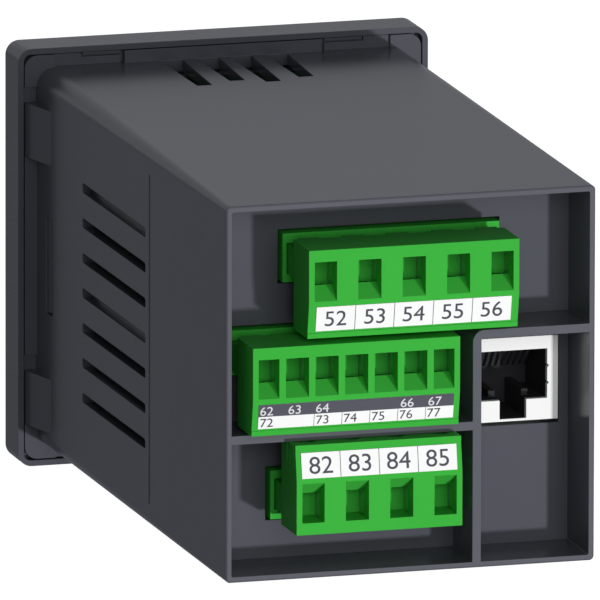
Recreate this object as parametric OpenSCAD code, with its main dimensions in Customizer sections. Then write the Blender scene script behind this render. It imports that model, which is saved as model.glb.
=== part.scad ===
// Flush-mounted protection relay for a square panel cut-out.
// X runs across the relay, Y from the front fascia (-Y) to the terminals (+Y), Z up.
// The origin is the middle of the plane where the bezel's rim seats on the panel.

/* [Bezel] */
// Outer width and height of the square bezel
bezel_w = 72; // [68:1:80]
// Depth of the bezel in front of the panel
bezel_t = 8.3; // [7.8:0.1:9.5]
// Corner radius of the bezel, seen from the front
bezel_r = 2.4; // [1.5:0.1:3.5]
// Thickness of the rim that runs round the bezel's hollow back
bezel_wall = 1; // [0.8:0.1:1.4]
// Thickness of the bezel's front wall
bezel_face_t = 1.8; // [1.6:0.1:2]
// Corner radius inside the rim
bezel_inner_r = 1.2; // [0.8:0.1:1.6]
// Bevel round the front edge of the bezel
bezel_bevel = 0.3; // [0.2:0.1:0.6]
// Width of the ledge inside the rim that the case's flange rests on
ledge_w = 3.2; // [2.8:0.1:3.4]

/* [Fascia] */
// Width of the bezel's border round the printed overlay
overlay_border = 3; // [2:0.5:5]
// Thickness of the overlay, sunk flush into the bezel
overlay_t = 0.5; // [0.3:0.1:0.6]
// Corner radius of the overlay
overlay_r = 1.6; // [1:0.1:2.5]
// Width of the display opening
view_w = 46; // [40:1:48]
// Height of the display opening
view_h = 24; // [20:1:25]
// Distance from the bezel's top to the display opening
view_at = 8.5; // [8:0.5:9.5]
// Thickness of the clear window behind the opening
window_t = 1.2; // [1:0.1:1.4]
// How far the window, the display glass and the backlight lap behind the opening's edge
window_lap = 2; // [1.5:0.1:2.5]
// Thickness of the display glass
lcd_t = 2; // [1.6:0.1:2.2]

/* [Keys] */
// Width of a small key
key_w = 9.5; // [8:0.5:10]
// Height of a small key
key_h = 6.4; // [5.5:0.1:7]
// Width of a large key
wide_key_w = 18; // [14:1:20]
// Corner radius of every key
key_r = 1.4; // [0.8:0.1:2]
// Distance between the small keys
key_pitch = 14; // [13:0.5:15]
// Distance from the bezel's bottom to the large keys' middle
wide_key_at = 12.5; // [11:0.5:13]
// Distance from the large keys' middle up to the small keys' middle
key_rise = 12; // [10.5:0.5:12.5]
// How far a key stands out in front of the bezel
key_proud = 0.9; // [0.7:0.1:1.2]
// How far a key can be pressed
key_travel = 0.5; // [0.3:0.1:0.6]
// Gap round each key in its hole
key_gap = 0.3; // [0.25:0.05:0.4]
// How far a key's collar laps behind the bezel's front wall
key_lap = 0.8; // [0.6:0.1:1]
// Thickness of a key's collar
key_collar_t = 0.7; // [0.6:0.1:0.8]
// Length of the stem behind a key's collar
stem_l = 0.8; // [0.6:0.1:0.9]
// Width of that stem
stem_w = 3; // [2:0.5:5]
// Width of the push switch behind each key
switch_w = 6; // [4.5:0.5:6]
// Height of the push switch
switch_h = 2.4; // [2.2:0.1:2.5]
// Diameter of the push switch's plunger
plunger_d = 3; // [2:0.1:3.5]
// Diameter of the status lights
light_d = 3; // [2:0.1:3.4]
// Distance from the small keys' middle up to the status lights
light_rise = 9.1; // [8.5:0.1:9.5]
// Distance between the status lights
light_pitch = 12; // [10:1:14]

/* [Case] */
// Distance from the panel seat to the case's rear rim
case_depth = 111.2; // [105:1:120]
// Width and height of the case where it leaves the bezel
case_front_w = 65.4; // [64:0.2:66]
// Width and height of the case at the rear rim
case_rear_w = 63.5; // [62:0.1:64]
// Radius of the case's long edges at the front
case_front_r = 3.2; // [2.5:0.1:4]
// Radius of the case's long edges at the rear
case_rear_r = 0.8; // [0.6:0.1:2]
// Wall thickness of the case
case_wall = 2; // [1.6:0.1:2.2]
// Bevel round the rear rim
rim_bevel = 0.3; // [0.2:0.1:0.5]
// Depth of the rear recess that holds the plugs
recess_depth = 11.1; // [10:0.1:12.5]
// Thickness of the recess's outer wall at the rear rim
rim_wall = 0.95; // [0.8:0.05:1.1]
// How much further in the recess's walls stand at its floor
recess_draft = 0.35; // [0.2:0.05:0.8]
// Thickness of the recess floor
floor_t = 2.2; // [1.8:0.1:2.6]
// Thickness of the walls that divide the recess
divider_t = 1.45; // [1.2:0.05:1.5]
// Radius on the outer corner of the data cell's walls
divider_r = 2; // [1:0.1:3]

/* [Flange] */
// Gap between the flange and the bezel's rim
flange_gap = 0.2; // [0.1:0.05:0.3]
// Corner radius of the flange
flange_r = 2.2; // [1.6:0.1:3]
// Thickness of the flange
flange_t = 2.2; // [2:0.1:2.4]
// How far the flange lies below the bezel's rim
flange_set = 0.1; // [0.1:0.05:0.3]
// Depth of the pockets in the flange
pocket_t = 0.7; // [0.5:0.1:1.4]
// Distance from the middle to the inner end of each corner block
corner_at = 29.4; // [29:0.1:30]
// Half width of the plain plate in the middle of the top and bottom
plate_half = 17.3; // [16:0.1:19]
// Width of the gap at each end of that plate
plate_gap = 0.6; // [0.4:0.1:0.8]
// Length of the fine slit that runs on from the gap
slit_l = 6.9; // [4:0.1:8]
// Height of that slit
slit_h = 0.3; // [0.2:0.05:0.4]
// Distance from the flange's edge to the slit
slit_in = 0.5; // [0.3:0.1:0.8]

/* [Catches] */
// Length of the sloped catches on the case's sides
catch_l = 8.3; // [7:0.1:12]
// Height of each catch
catch_h = 9.3; // [8:0.1:9.4]
// Height of the upper catch's top end
catch_top_z = 26.8; // [26:0.1:28]
// Height of the lower catch's top end
catch_low_z = -19.4; // [-19.6:0.1:-18.6]
// How far the catches stand short of the bezel's rim
catch_set = 0.2; // [0.1:0.1:0.4]
// Distance from the panel seat to the snap windows
snap_y = 5.3; // [4.5:0.1:8]
// Length of a snap window along the case
snap_l = 4.1; // [3:0.1:5]
// Height of a snap window
snap_h = 16.7; // [12:0.1:18]
// Thickness of the bezel's snap arms
snap_arm_t = 1.4; // [1.2:0.1:1.6]
// Length of the flat on an arm's hook
hook_flat = 1.2; // [0.6:0.1:1.6]
// How far the hook stays inside the case's side
hook_set = 0.3; // [0.2:0.1:0.8]

/* [Vents] */
// Number of slots in each side
side_vents = 7; // [5:1:8]
// Distance between the side slots
side_vent_pitch = 6; // [5:0.1:6.2]
// Length of a side slot
side_vent_l = 37.2; // [30:0.2:40]
// Height of a side slot
side_vent_h = 1.7; // [1.2:0.1:2.4]
// Radius of the side slots' corners
side_vent_r = 0.6; // [0.2:0.05:0.6]
// Distance from the panel seat to the front of the side slots
side_vent_y = 27.2; // [20:0.2:30]
// Height of the middle of the side slots
side_vent_z = -0.3; // [-2:0.1:2]
// Width of a top slot at its front
top_vent_w = 3.95; // [3:0.05:4.5]
// Width of a top slot at its rear
top_vent_rear_w = 2.6; // [2:0.1:3.5]
// Distance from the panel seat to the rear of a long top slot
top_vent_l = 20.5; // [18:0.1:24]
// How much shorter every second top slot is
top_vent_step = 2.2; // [1:0.1:4]
// Distance from the panel seat to the front of the top slots
top_vent_y = 0.1; // [0.1:0.1:3]
// Distance from the middle to the inner top slots
top_vent_in = 2.85; // [2.6:0.05:3.2]
// Distance from the middle to the outer top slots
top_vent_out = 9.2; // [8.5:0.1:10]
// Depth of the bare label field in the case's left side
label_field_t = 0.1; // [0.05:0.05:0.3]
// Distance from the panel seat to the label field
label_field_y = 66.4; // [65.6:0.2:70]
// Distance from the label field to the rear rim
label_field_end = 3.3; // [3:0.1:9]
// Height of the label field
label_field_h = 56; // [50:1:57]

/* [Plugs] */
// Distance between the poles of the wide-pitch plugs
wide_pitch = 7.62; // [7.5:0.02:7.62]
// Distance between the poles of the fine-pitch plug
fine_pitch = 5.08; // [5:0.02:5.08]
// Number of poles of the upper plug
upper_poles = 5; // [3:1:5]
// Number of poles of the middle plug
middle_poles = 7; // [4:1:7]
// Number of poles of the lower plug
lower_poles = 4; // [2:1:4]
// Distance from the middle of the end pole to the end of a wide-pitch plug
wide_end = 2.82; // [2.7:0.01:3.2]
// Distance from the middle of the end pole to the end of the fine-pitch plug
fine_end = 2.54; // [2.5:0.01:2.6]
// Sideways place of the upper plug's middle
upper_x = 0.6; // [-0.5:0.1:1.5]
// Distance from the recess's side wall to the middle plug
middle_in = 2.22; // [2:0.02:2.6]
// Sideways place of the lower plug's middle
lower_x = 6.45; // [5:0.05:8]
// Height of the flat end of the upper plug
upper_z = 24.4; // [24:0.1:24.8]
// Height of the flat end of the middle plug
middle_z = 8.5; // [8.4:0.1:8.6]
// Height of the flat end of the lower plug, which is upside down
lower_z = -23.5; // [-23.8:0.1:-23.4]
// Height of a plug
plug_h = 15; // [14.6:0.1:15]
// How far the plugs' wire faces stand out behind the rear rim
plug_proud = 3.8; // [2:0.1:5]
// Depth of the wide front part of a plug
plug_body_l = 9; // [8:0.1:10]
// Height of the wire face above the sloped label face
plug_face_h = 9.2; // [8.8:0.1:9.6]
// How far the label face slopes back
plug_slope = 1.05; // [0.5:0.05:1.5]
// Height of the lip beyond the label face
plug_lip_h = 0.9; // [0.6:0.1:1.2]
// How far the lip stands out
plug_lip_t = 0.15; // [0.1:0.05:0.3]
// Height of the neck that enters the header
neck_h = 4.8; // [4:0.1:5]
// Distance from the flat end to the neck
neck_at = 1.7; // [1.6:0.1:2]
// Depth of the neck behind the wide part
neck_l = 11.5; // [10:0.5:12]
// How much narrower than the plug the neck is at each end
neck_end_in = 0.3; // [0.2:0.1:0.4]
// Width of the upper plug's label
upper_label_w = 33.5; // [20:0.5:34]
// Width of the middle plug's label
middle_label_w = 33.5; // [20:0.5:34]
// Width of the lower plug's label
lower_label_w = 26.7; // [14:0.5:27]
// Thickness of a label
label_t = 0.2; // [0.1:0.05:0.3]
// Bare strip above and below a label
label_margin = 0.35; // [0.2:0.05:0.6]
// How far the rear tabs reach past the wide part
tab_l = 1; // [0.6:0.1:1.4]
// Width of a rear tab at its root
tab_w = 3.6; // [2.5:0.1:4]
// Number of coding grooves in each end of the lower plug
code_grooves = 3; // [2:1:4]
// Width and depth of a coding groove
code_w = 0.4; // [0.3:0.05:0.5]
// Distance between the coding grooves
code_pitch = 1.8; // [1.4:0.1:2]
// Length of a coding groove
code_l = 3.8; // [3:0.1:5]

/* [Wire entries] */
// Width of a wire entry
entry_w = 3.95; // [3.4:0.05:4]
// Height of a wire entry's mouth
entry_h = 6.65; // [6:0.05:7]
// Distance from the plug's flat end to the wire entry
entry_at = 2; // [1.6:0.1:2.4]
// Depth of the sloped funnel
funnel_l = 3.1; // [2.5:0.1:3.4]
// How far the funnel's slope narrows the entry
funnel_rise = 2.25; // [1.5:0.05:2.6]
// Depth of a wire entry
entry_l = 5.8; // [5:0.1:6.2]
// Wall left at the outer side of the end entries
entry_end_wall = 0.98; // [0.9:0.02:1.2]
// Diameter of a clamp screw's thread
clamp_screw_d = 2.5; // [2:0.1:2.6]
// Diameter of a clamp screw's head
clamp_head_d = 3.1; // [2.9:0.1:3.2]
// Length of a clamp screw's head
clamp_head_l = 1.5; // [1:0.1:2]
// How far the screw's head lies inside the plug
clamp_screw_in = 0.6; // [0.3:0.1:1]
// Thickness of the sheet that the clamp cages and contacts are bent from
cage_t = 0.25; // [0.2:0.05:0.25]
// Height of a clamp cage
cage_h = 8; // [7.8:0.1:8.4]
// Thickness of the roof left between an entry and its clamp cage
roof_t = 0.4; // [0.3:0.05:0.5]
// How far the contact's tongue lies below the funnel's inner edge
tongue_in = 0.65; // [0.2:0.05:0.8]
// Width of a spring contact
contact_w = 2.6; // [2:0.1:2.8]
// Distance from the rear of the wide part to the contact's upright web
web_in = 1.6; // [1:0.1:2]
// Clearance round the metal parts in their chambers
chamber_gap = 0.05; // [0.05:0.01:0.1]

/* [Headers] */
// How far the headers stand out of the recess floor
header_proud = 1.4; // [1:0.1:2]
// How much wider than its plug a header is at each end
header_over = 0.6; // [0.5:0.1:0.7]
// How far a header's top lies beyond the plug's flat end
header_top = 0.15; // [0.1:0.05:0.3]
// Height of a wide-pitch header
wide_header_h = 8.25; // [8:0.05:8.6]
// Height of the fine-pitch header
fine_header_h = 7.55; // [7.4:0.05:7.9]
// Depth of a header's cavity
header_cavity_l = 8.5; // [8:0.1:9]
// Thickness of a header's back wall
header_back_t = 2.5; // [2:0.1:3]
// Thickness of a header's end walls
header_end_t = 0.7; // [0.5:0.05:0.75]
// Clearance between a plug's neck and its header
neck_gap = 0.2; // [0.15:0.05:0.3]
// Gap between a header and its hole in the recess floor
header_gap = 0.45; // [0.3:0.05:0.6]
// Side of a square contact pin
pin_w = 1; // [0.8:0.1:1]
// Clearance round a leg in its hole in a board
leg_gap = 0.15; // [0.1:0.05:0.2]

/* [Data jack] */
// Distance from the recess's side wall to the data jack
jack_in = 2.1; // [1.6:0.1:2.3]
// Height of the data jack's lower side
jack_z = -9.6; // [-10.5:0.1:-9]
// Width of the data jack
jack_w = 15.5; // [15:0.1:15.8]
// Height of the data jack
jack_h = 14.2; // [13.6:0.1:14.6]
// Depth of the data jack
jack_l = 16; // [14:0.5:18]
// How far the data jack stands out of the recess floor
jack_proud = 1.2; // [0.8:0.1:2]
// Width of the jack's mouth
mouth_w = 11.8; // [11.6:0.1:12]
// Height of the jack's mouth
mouth_h = 8.4; // [8:0.1:8.6]
// Distance from the jack's top to its mouth
mouth_at = 2.2; // [1.8:0.1:2.4]
// Width of the latch notch under the mouth
latch_w = 4.6; // [4.2:0.1:5]
// Height of the latch notch
latch_h = 3.2; // [3:0.1:3.4]
// Depth of the jack's mouth
mouth_l = 12.5; // [12:0.1:13]
// Thickness of the jack's white face
jack_face_t = 1; // [0.6:0.1:1.4]
// Thickness of the white shell's sides and top
jack_wall = 0.8; // [0.6:0.1:1]
// Gap between the jack and its hole in the recess floor
jack_gap = 0.5; // [0.3:0.1:0.5]
// Gap below the jack in that hole
jack_under = 0.9; // [0.5:0.1:1]
// Diameter of the two nicks in the mouth's side
nick_d = 0.5; // [0.3:0.1:0.6]
// Distance from the mouth's top to the upper nick, and from there to the lower one
nick_pitch = 2.9; // [2:0.1:3.5]
// Width and height of the rails beside the latch notch
rail_w = 1.1; // [0.6:0.1:1.4]
// Distance from the jack's face to those rails
rail_set = 3; // [2:0.5:5]
// Width of a contact wire
wire_w = 0.4; // [0.3:0.05:0.45]
// Distance from the jack's face to the front bend of its wires
wire_set = 1.8; // [1.6:0.2:3]
// Distance from the jack's face to the tips of its wires
wire_reach = 5.2; // [4.6:0.2:7]
// How far the wires reach down into the mouth
wire_drop = 3.6; // [2:0.2:4]
// Distance between the jack's contacts
jack_pitch = 1.02; // [1:0.01:1.04]
// Gap between the data jack and the data cell's top wall
cell_top_gap = 2.4; // [2.2:0.1:2.6]
// Gap between the data jack and the data cell's upright wall
cell_gap = 0.7; // [0.6:0.05:1]
// Height of the shelf between the middle and the lower plug, at its top
shelf_z = -6.95; // [-7:0.05:-6.7]

/* [Boards] */
// Thickness of every circuit board
board_t = 1.6; // [1.2:0.1:1.6]
// Gap between the long boards' sides and the case at their rear ends
board_gap = 0.55; // [0.4:0.05:0.7]
// Distance from the panel seat to the front of the long boards
board_y = 12; // [11:0.5:16]
// Gap between the long boards and the recess floor
board_rear_gap = 1.4; // [1:0.1:2]
// Depth of the guide ribs in the case's sides
guide_t = 0.8; // [0.6:0.05:0.8]
// Height of a guide rib
guide_h = 1.2; // [1:0.1:1.6]
// Gap between the display board and the case's inside
display_board_gap = 1.1; // [0.9:0.1:1.3]
// Distance from the display board's edge to its screws
boss_in = 2; // [1.8:0.1:2.2]
// Wall of the screw bosses
boss_wall = 1; // [0.8:0.1:1]
// Gap behind the display board's front face to the seat plane
display_board_set = 0.5; // [0.3:0.1:0.8]
// Diameter of the small screws' threads
screw_d = 2.2; // [2:0.1:2.5]
// Diameter of the small screws' heads
screw_head_d = 4; // [3.6:0.1:4.4]

/* [Components] */
// Number of pins between the display board and each long board
link_pins = 10; // [4:1:16]
// Distance between those pins
link_pitch = 2.54; // [2:0.02:2.54]
// Side of one of those pins
link_pin_w = 0.64; // [0.5:0.02:0.7]
// Height and depth of the strip that holds them
strip_h = 2.5; // [2:0.1:3]
// Width of a relay on the upper board
relay_w = 10; // [8:0.5:13]
// Length of a relay
relay_l = 20; // [16:1:24]
// Height of a relay
relay_h = 11.5; // [10:0.5:12]
// Distance from the panel seat to the relays
relay_y = 62; // [58:1:63]
// Distance between the relays, and between the parts in front of them
relay_pitch = 15; // [13.5:0.5:18]
// Diameter of a capacitor
capacitor_d = 10; // [6:0.5:12]
// Height of a capacitor
capacitor_h = 12; // [8:0.5:12.5]
// Distance from the panel seat to the capacitors' middle
capacitor_y = 26; // [24:1:30]
// Diameter of a surge disc
disc_d = 9; // [7:0.5:11]
// Thickness of a surge disc
disc_t = 4; // [3:0.5:5]
// Distance from the panel seat to the surge discs
disc_y = 48; // [44:1:52]
// Width of the transformer's core
core_w = 28; // [24:1:32]
// Length of the transformer's core
core_l = 12; // [8:1:16]
// Height of the transformer's core
core_h = 17; // [15:0.5:17.5]
// Width of the core's middle leg
core_leg_w = 8; // [6:0.5:9]
// Width of the core's windows
core_window_w = 5; // [4:0.5:6]
// Height of the core's windows
core_window_h = 9; // [7:0.5:10]
// Sideways place of the transformer
core_x = 8; // [0:1:12]
// Distance from the panel seat to the transformer's middle
core_y = 44; // [36:1:60]
// Width of the processor
chip_w = 14; // [10:1:16]
// Height of the processor
chip_h = 1.4; // [1:0.1:1.6]
// Distance from the panel seat to the processor's middle
chip_y = 50; // [40:1:60]

/* [Hidden] */

// Facets of round corners, and of the corners inside a hull
round_fn = 32;
corner_fn = 60;
// Cuts run past the faces they open by this much
overrun = 1;
// Thickness of the slices that a tapered body is stretched between
slice = 0.01;

// Colours
dark_grey = "#4a4b50";
board_green = "#1f5a36";
plug_green = "#2fae35";
steel = "#b8bcc2";
brass = "#c9a24a";

// Bezel and case, from the front to the rear
face_y = -bezel_t;
hollow_y = face_y + bezel_face_t;
hollow_w = bezel_w - 2 * bezel_wall;
overlay_w = bezel_w - 2 * overlay_border;
view_z = bezel_w / 2 - view_at - view_h / 2;
wide_key_z = wide_key_at - bezel_w / 2;
key_z = wide_key_z + key_rise;
light_z = key_z + light_rise;
flange_w = hollow_w - 2 * flange_gap;
flange_rear_y = -flange_set;
flange_front_y = flange_rear_y - flange_t;
cavity_front_w = case_front_w - 2 * case_wall;
cavity_rear_w = case_rear_w - 2 * case_wall;
floor_y = case_depth - recess_depth;
floor_inner_y = floor_y - floor_t;
recess_rim_w = case_rear_w - 2 * rim_wall;
recess_floor_w = recess_rim_w - 2 * recess_draft;
label_field_l = case_depth - label_field_end - label_field_y;
case_draft_share = (case_front_w - case_rear_w) / 2 / case_depth;
function case_half(y) = case_front_w / 2 - y * case_draft_share;
wall_inside = min(cavity_front_w, cavity_rear_w) / 2 - overrun;
wall_outside = max(case_front_w, case_rear_w) / 2 + overrun;

// Display stack, resting on the back of the bezel's front wall
window_y = hollow_y + window_t;
lcd_y = window_y + lcd_t;
display_board_y = -display_board_set;
display_board_rear_y = display_board_y + board_t;
display_board_w = cavity_front_w - 2 * display_board_gap;
boss_at = display_board_w / 2 - boss_in;
boss_d = screw_d + 2 * boss_wall;
arm_x = cavity_front_w / 2 - key_gap;

// Places of the keys: name order up, down, back, enter
small_key_x = [for (i = [0:3]) (i - 1.5) * key_pitch];
wide_key_x = key_pitch;
collar_y = hollow_y + key_collar_t;
plunger_l = display_board_y - switch_h - collar_y - stem_l - key_travel - key_gap / 3;

// Places in the recess that follow its side walls
middle_w = (middle_poles - 1) * fine_pitch + 2 * fine_end;
middle_x = recess_floor_w / 2 - middle_in - middle_w / 2;
jack_x = jack_in + jack_w / 2 - recess_floor_w / 2;
cell_x = jack_x + jack_w / 2 + cell_gap + divider_t;
cell_top_z = jack_z + jack_h + cell_top_gap;

// One row of terminals: poles, pitch, middle, flat end, upside down, end length, header height
UPPER = [upper_poles, wide_pitch, upper_x, upper_z, false, wide_end, wide_header_h];
MIDDLE = [middle_poles, fine_pitch, middle_x, middle_z, false, fine_end, fine_header_h];
LOWER = [lower_poles, wide_pitch, lower_x, lower_z, true, wide_end, wide_header_h];
function poles(row) = row[0];
function pitch(row) = row[1];
function end_l(row) = row[5];
function header_h(row) = row[6];
function plug_w(row) = (poles(row) - 1) * pitch(row) + 2 * end_l(row);
function header_w(row) = plug_w(row) + 2 * header_over;
function pole_x(row) = [for (i = [0:poles(row) - 1]) (i - (poles(row) - 1) / 2) * pitch(row)];
function board_side_z(row) = row[3] + (row[4] ? -1 : 1) * (header_top - header_h(row));

// Plug, measured down from its flat end
plug_face_y = case_depth + plug_proud;
plug_rear_y = plug_face_y - plug_body_l;
neck_end_y = plug_rear_y - neck_l;
lip_at = plug_h - plug_lip_h;
cage_y = plug_face_y - entry_l;
cage_l = entry_l - funnel_l;
clamp_y = cage_y + cage_l / 2;
cage_half = entry_w / 2 + chamber_gap + cage_t;
cage_at = entry_at - roof_t - cage_t;
tongue_at = entry_at + entry_h - funnel_rise + tongue_in;
leaf_at = pin_w / 2 + chamber_gap;
web_y = plug_rear_y + web_in;

// Headers and boards
header_mouth_y = floor_y + header_proud;
header_floor_y = header_mouth_y - header_cavity_l;
header_back_y = header_floor_y - header_back_t;
pin_z = neck_at + neck_h / 2;
leg_y = header_back_y - pin_w;
board_end_y = floor_inner_y - board_rear_gap;
board_w = 2 * (case_half(board_end_y) - case_wall - board_gap);
guide_end_y = header_back_y - header_gap;
upper_board_z = board_side_z(UPPER);
middle_board_z = board_side_z(MIDDLE);
lower_board_z = jack_z;
lower_standoff = lower_board_z - board_t - board_side_z(LOWER);

// Data jack
jack_y = floor_y + jack_proud;
jack_back_y = jack_y - jack_l;
jack_floor_t = jack_h - mouth_at - mouth_h - latch_h;
jack_leg_y = jack_back_y - 2 * wire_w;
mouth_top_z = jack_z + jack_h - mouth_at;
mouth_bottom_z = mouth_top_z - mouth_h;
roof_z = mouth_top_z + wire_w;

// A block between two X, two Y and two Z values
module block(x, y, z) {
    translate([x[0], y[0], z[0]])
        cube([x[1] - x[0], y[1] - y[0], z[1] - z[0]]);
}

// A block centred on X and Z, between two Y values
module plate(w, y, h) {
    block([-w / 2, w / 2], y, [-h / 2, h / 2]);
}

// An outline drawn in X and Z, extruded between two Y values
module along_y(y) {
    translate([0, y[1], 0])
        rotate([90, 0, 0])
            linear_extrude(y[1] - y[0]) children();
}

// An outline drawn in Y and Z, extruded between two X values
module along_x(x) {
    translate([x[0], 0, 0])
        rotate([90, 0, 90])
            linear_extrude(x[1] - x[0]) children();
}

// An outline drawn in X and Y, extruded between two Z values
module along_z(z) {
    translate([0, 0, z[0]])
        linear_extrude(z[1] - z[0]) children();
}

// A rectangle with round corners
module rounded(w, h, r, fn = round_fn) {
    square([w - 2 * r, h], center = true);
    square([w, h - 2 * r], center = true);
    for (x = [-1, 1], z = [-1, 1])
        translate([x * (w / 2 - r), z * (h / 2 - r)])
            circle(r, $fn = fn);
}

// The same shape on the left and the right
module both_sides() {
    children();
    mirror([1, 0, 0]) children();
}

// The same shape on the top and the bottom
module top_and_bottom() {
    children();
    mirror([0, 0, 1]) children();
}

// A body that tapers from one rounded square to another along Y
module taper(y, w, r) {
    hull() {
        along_y([y[0], y[0] + slice]) rounded(w[0], w[0], r[0], corner_fn);
        along_y([y[1] - slice, y[1]]) rounded(w[1], w[1], r[1], corner_fn);
    }
}

// Case: one moulding with the flange, the catches and the divided rear recess
module case_body() {
    bevel_y = case_depth - rim_bevel;
    taper([flange_rear_y, bevel_y], [case_front_w, case_rear_w], [case_front_r, case_rear_r]);
    taper([bevel_y - slice, case_depth], [case_rear_w, case_rear_w - 2 * rim_bevel],
        [case_rear_r, case_rear_r - rim_bevel]);
}

module flange() {
    pocket_y = [flange_rear_y - pocket_t, overrun];
    difference() {
        along_y([flange_front_y, flange_rear_y]) rounded(flange_w, flange_w, flange_r);
        top_and_bottom() both_sides()
            block([plate_half, corner_at], pocket_y, [case_front_w / 2, flange_w / 2 + overrun]);
        both_sides() {
            block([case_front_w / 2, flange_w / 2 + overrun], pocket_y, [catch_top_z, corner_at]);
            block([case_front_w / 2, flange_w / 2 + overrun], pocket_y,
                [catch_low_z, catch_low_z + corner_at - catch_top_z]);
        }
        top_and_bottom() both_sides() plate_slits();
    }
}

// A gap beside the plain plate, with a fine slit that ends in a turn to the edge
module plate_slits() {
    slit_z = flange_w / 2 - slit_in - slit_h;
    slit_end = plate_half + plate_gap + slit_l;
    slit_y = [flange_rear_y - 2 * pocket_t, overrun];
    block([plate_half, plate_half + plate_gap], slit_y, [case_front_w / 2, flange_w / 2 + overrun]);
    block([plate_half, slit_end], slit_y, [slit_z, slit_z + slit_h]);
    block([slit_end - slit_h, slit_end], slit_y, [slit_z, flange_w / 2 + overrun]);
}

// Sloped catches that a mounting clip hooks on
module catches() {
    top_x = bezel_w / 2 - bezel_wall - catch_set;
    root_x = case_front_w / 2 - case_wall / 2;
    both_sides()
        for (top_z = [catch_top_z, catch_low_z])
            along_z([top_z - catch_h, top_z])
                polygon([
                    [root_x, flange_front_y], [top_x, flange_front_y], [top_x, 0],
                    [case_half(catch_l), catch_l], [root_x, catch_l]
                ]);
}

module side_vent_cuts() {
    both_sides()
        for (i = [0:side_vents - 1])
            translate([0, 0, side_vent_z + (i - (side_vents - 1) / 2) * side_vent_pitch])
                along_x([wall_inside, wall_outside])
                    translate([side_vent_y + side_vent_l / 2, 0])
                        rounded(side_vent_l, side_vent_h, side_vent_r);
}

module top_vent_cuts() {
    places = [-top_vent_out, -top_vent_in, top_vent_in, top_vent_out];
    top_and_bottom()
        for (i = [0:len(places) - 1]) {
            rear_y = top_vent_l - (i % 2 == 0 ? top_vent_step : 0);
            along_z([wall_inside, wall_outside])
                translate([places[i], 0])
                    polygon([
                        [-top_vent_w / 2, top_vent_y], [top_vent_w / 2, top_vent_y],
                        [top_vent_rear_w / 2, rear_y], [-top_vent_rear_w / 2, rear_y]
                    ]);
        }
}

module dividers() {
    wall_end = recess_rim_w / 2;
    cell_right = cell_x - divider_t;
    along_y([floor_y - slice, case_depth]) {
        difference() {
            translate([-wall_end, -wall_end])
                square([cell_x + wall_end, cell_top_z + divider_t + wall_end]);
            translate([-wall_end - overrun, -wall_end - overrun])
                square([cell_right + wall_end + overrun, cell_top_z + wall_end + overrun]);
            translate([cell_x - divider_r, cell_top_z + divider_t - divider_r])
                difference() {
                    square(divider_r + overrun);
                    circle(divider_r, $fn = round_fn);
                }
        }
        translate([cell_right, shelf_z - divider_t])
            square([wall_end - cell_right, divider_t]);
    }
}

module header_hole(row) {
    at_row(row)
        block([-header_w(row) / 2 - header_gap, header_w(row) / 2 + header_gap],
            [floor_inner_y - overrun, floor_y + overrun],
            [-header_h(row) + header_top - header_gap, header_top + header_gap]);
}

module board_guides() {
    both_sides()
        for (top_z = [upper_board_z, middle_board_z, lower_board_z])
            for (z = [top_z, top_z - board_t - guide_h])
                block([board_w / 2 - guide_t, case_half(board_end_y) - case_wall / 2],
                    [board_y, guide_end_y], [z, z + guide_h]);
}

module case_shell() {
    color(dark_grey) {
        difference() {
            union() {
                case_body();
                flange();
                catches();
            }
            taper([flange_front_y - overrun, floor_inner_y],
                [cavity_front_w, cavity_rear_w], [case_rear_r, case_rear_r]);
            taper([floor_y, case_depth + overrun], [recess_floor_w, recess_rim_w],
                [rim_bevel, rim_bevel]);
            header_hole(UPPER);
            header_hole(MIDDLE);
            header_hole(LOWER);
            block([jack_x - jack_w / 2 - jack_gap, jack_x + jack_w / 2 + jack_gap],
                [floor_inner_y - overrun, floor_y + overrun],
                [jack_z - jack_under, jack_z + jack_h + jack_gap]);
            both_sides()
                block([wall_inside, wall_outside],
                    [snap_y, snap_y + snap_l], [-snap_h / 2, snap_h / 2]);
            side_vent_cuts();
            top_vent_cuts();
            block([case_half(label_field_y) - label_field_t, wall_outside],
                [label_field_y, label_field_y + label_field_l],
                [-label_field_h / 2, label_field_h / 2]);
        }
        dividers();
        board_guides();
    }
}

// Bezel: hollow from behind, with bosses for the display board and two snap arms
module key_places() {
    for (x = small_key_x)
        translate([x, 0, key_z]) children();
}

module wide_key_places() {
    both_sides() translate([wide_key_x, 0, wide_key_z]) children();
}

module light_places() {
    for (i = [-1:1])
        translate([i * light_pitch, 0, light_z]) children();
}

module front_holes() {
    hole_y = [face_y - overrun, hollow_y + overrun];
    translate([0, 0, view_z]) plate(view_w, hole_y, view_h);
    key_places()
        along_y(hole_y) rounded(key_w + 2 * key_gap, key_h + 2 * key_gap, key_r + key_gap);
    wide_key_places()
        along_y(hole_y) rounded(wide_key_w + 2 * key_gap, key_h + 2 * key_gap, key_r + key_gap);
    light_places()
        along_y(hole_y) circle(light_d / 2, $fn = round_fn);
}

module board_bosses(y, d) {
    for (x = [-1, 1], z = [-1, 1])
        translate([x * boss_at, 0, z * boss_at])
            along_y(y) circle(d / 2, $fn = round_fn);
}

// An arm reaches through the case's open front and hooks in the snap window
module snap_arm() {
    hook_gap = key_gap / 2;
    hook_y = snap_y + hook_gap;
    tip_y = snap_y + snap_l - hook_gap;
    out_x = case_half(snap_y) - hook_set;
    along_z([-snap_h / 2 + hook_gap, snap_h / 2 - hook_gap])
        polygon([
            [arm_x - snap_arm_t, hollow_y - slice], [arm_x, hollow_y - slice], [arm_x, hook_y],
            [out_x, hook_y], [out_x, hook_y + hook_flat], [arm_x, tip_y],
            [arm_x - snap_arm_t, tip_y]
        ]);
}

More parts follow.
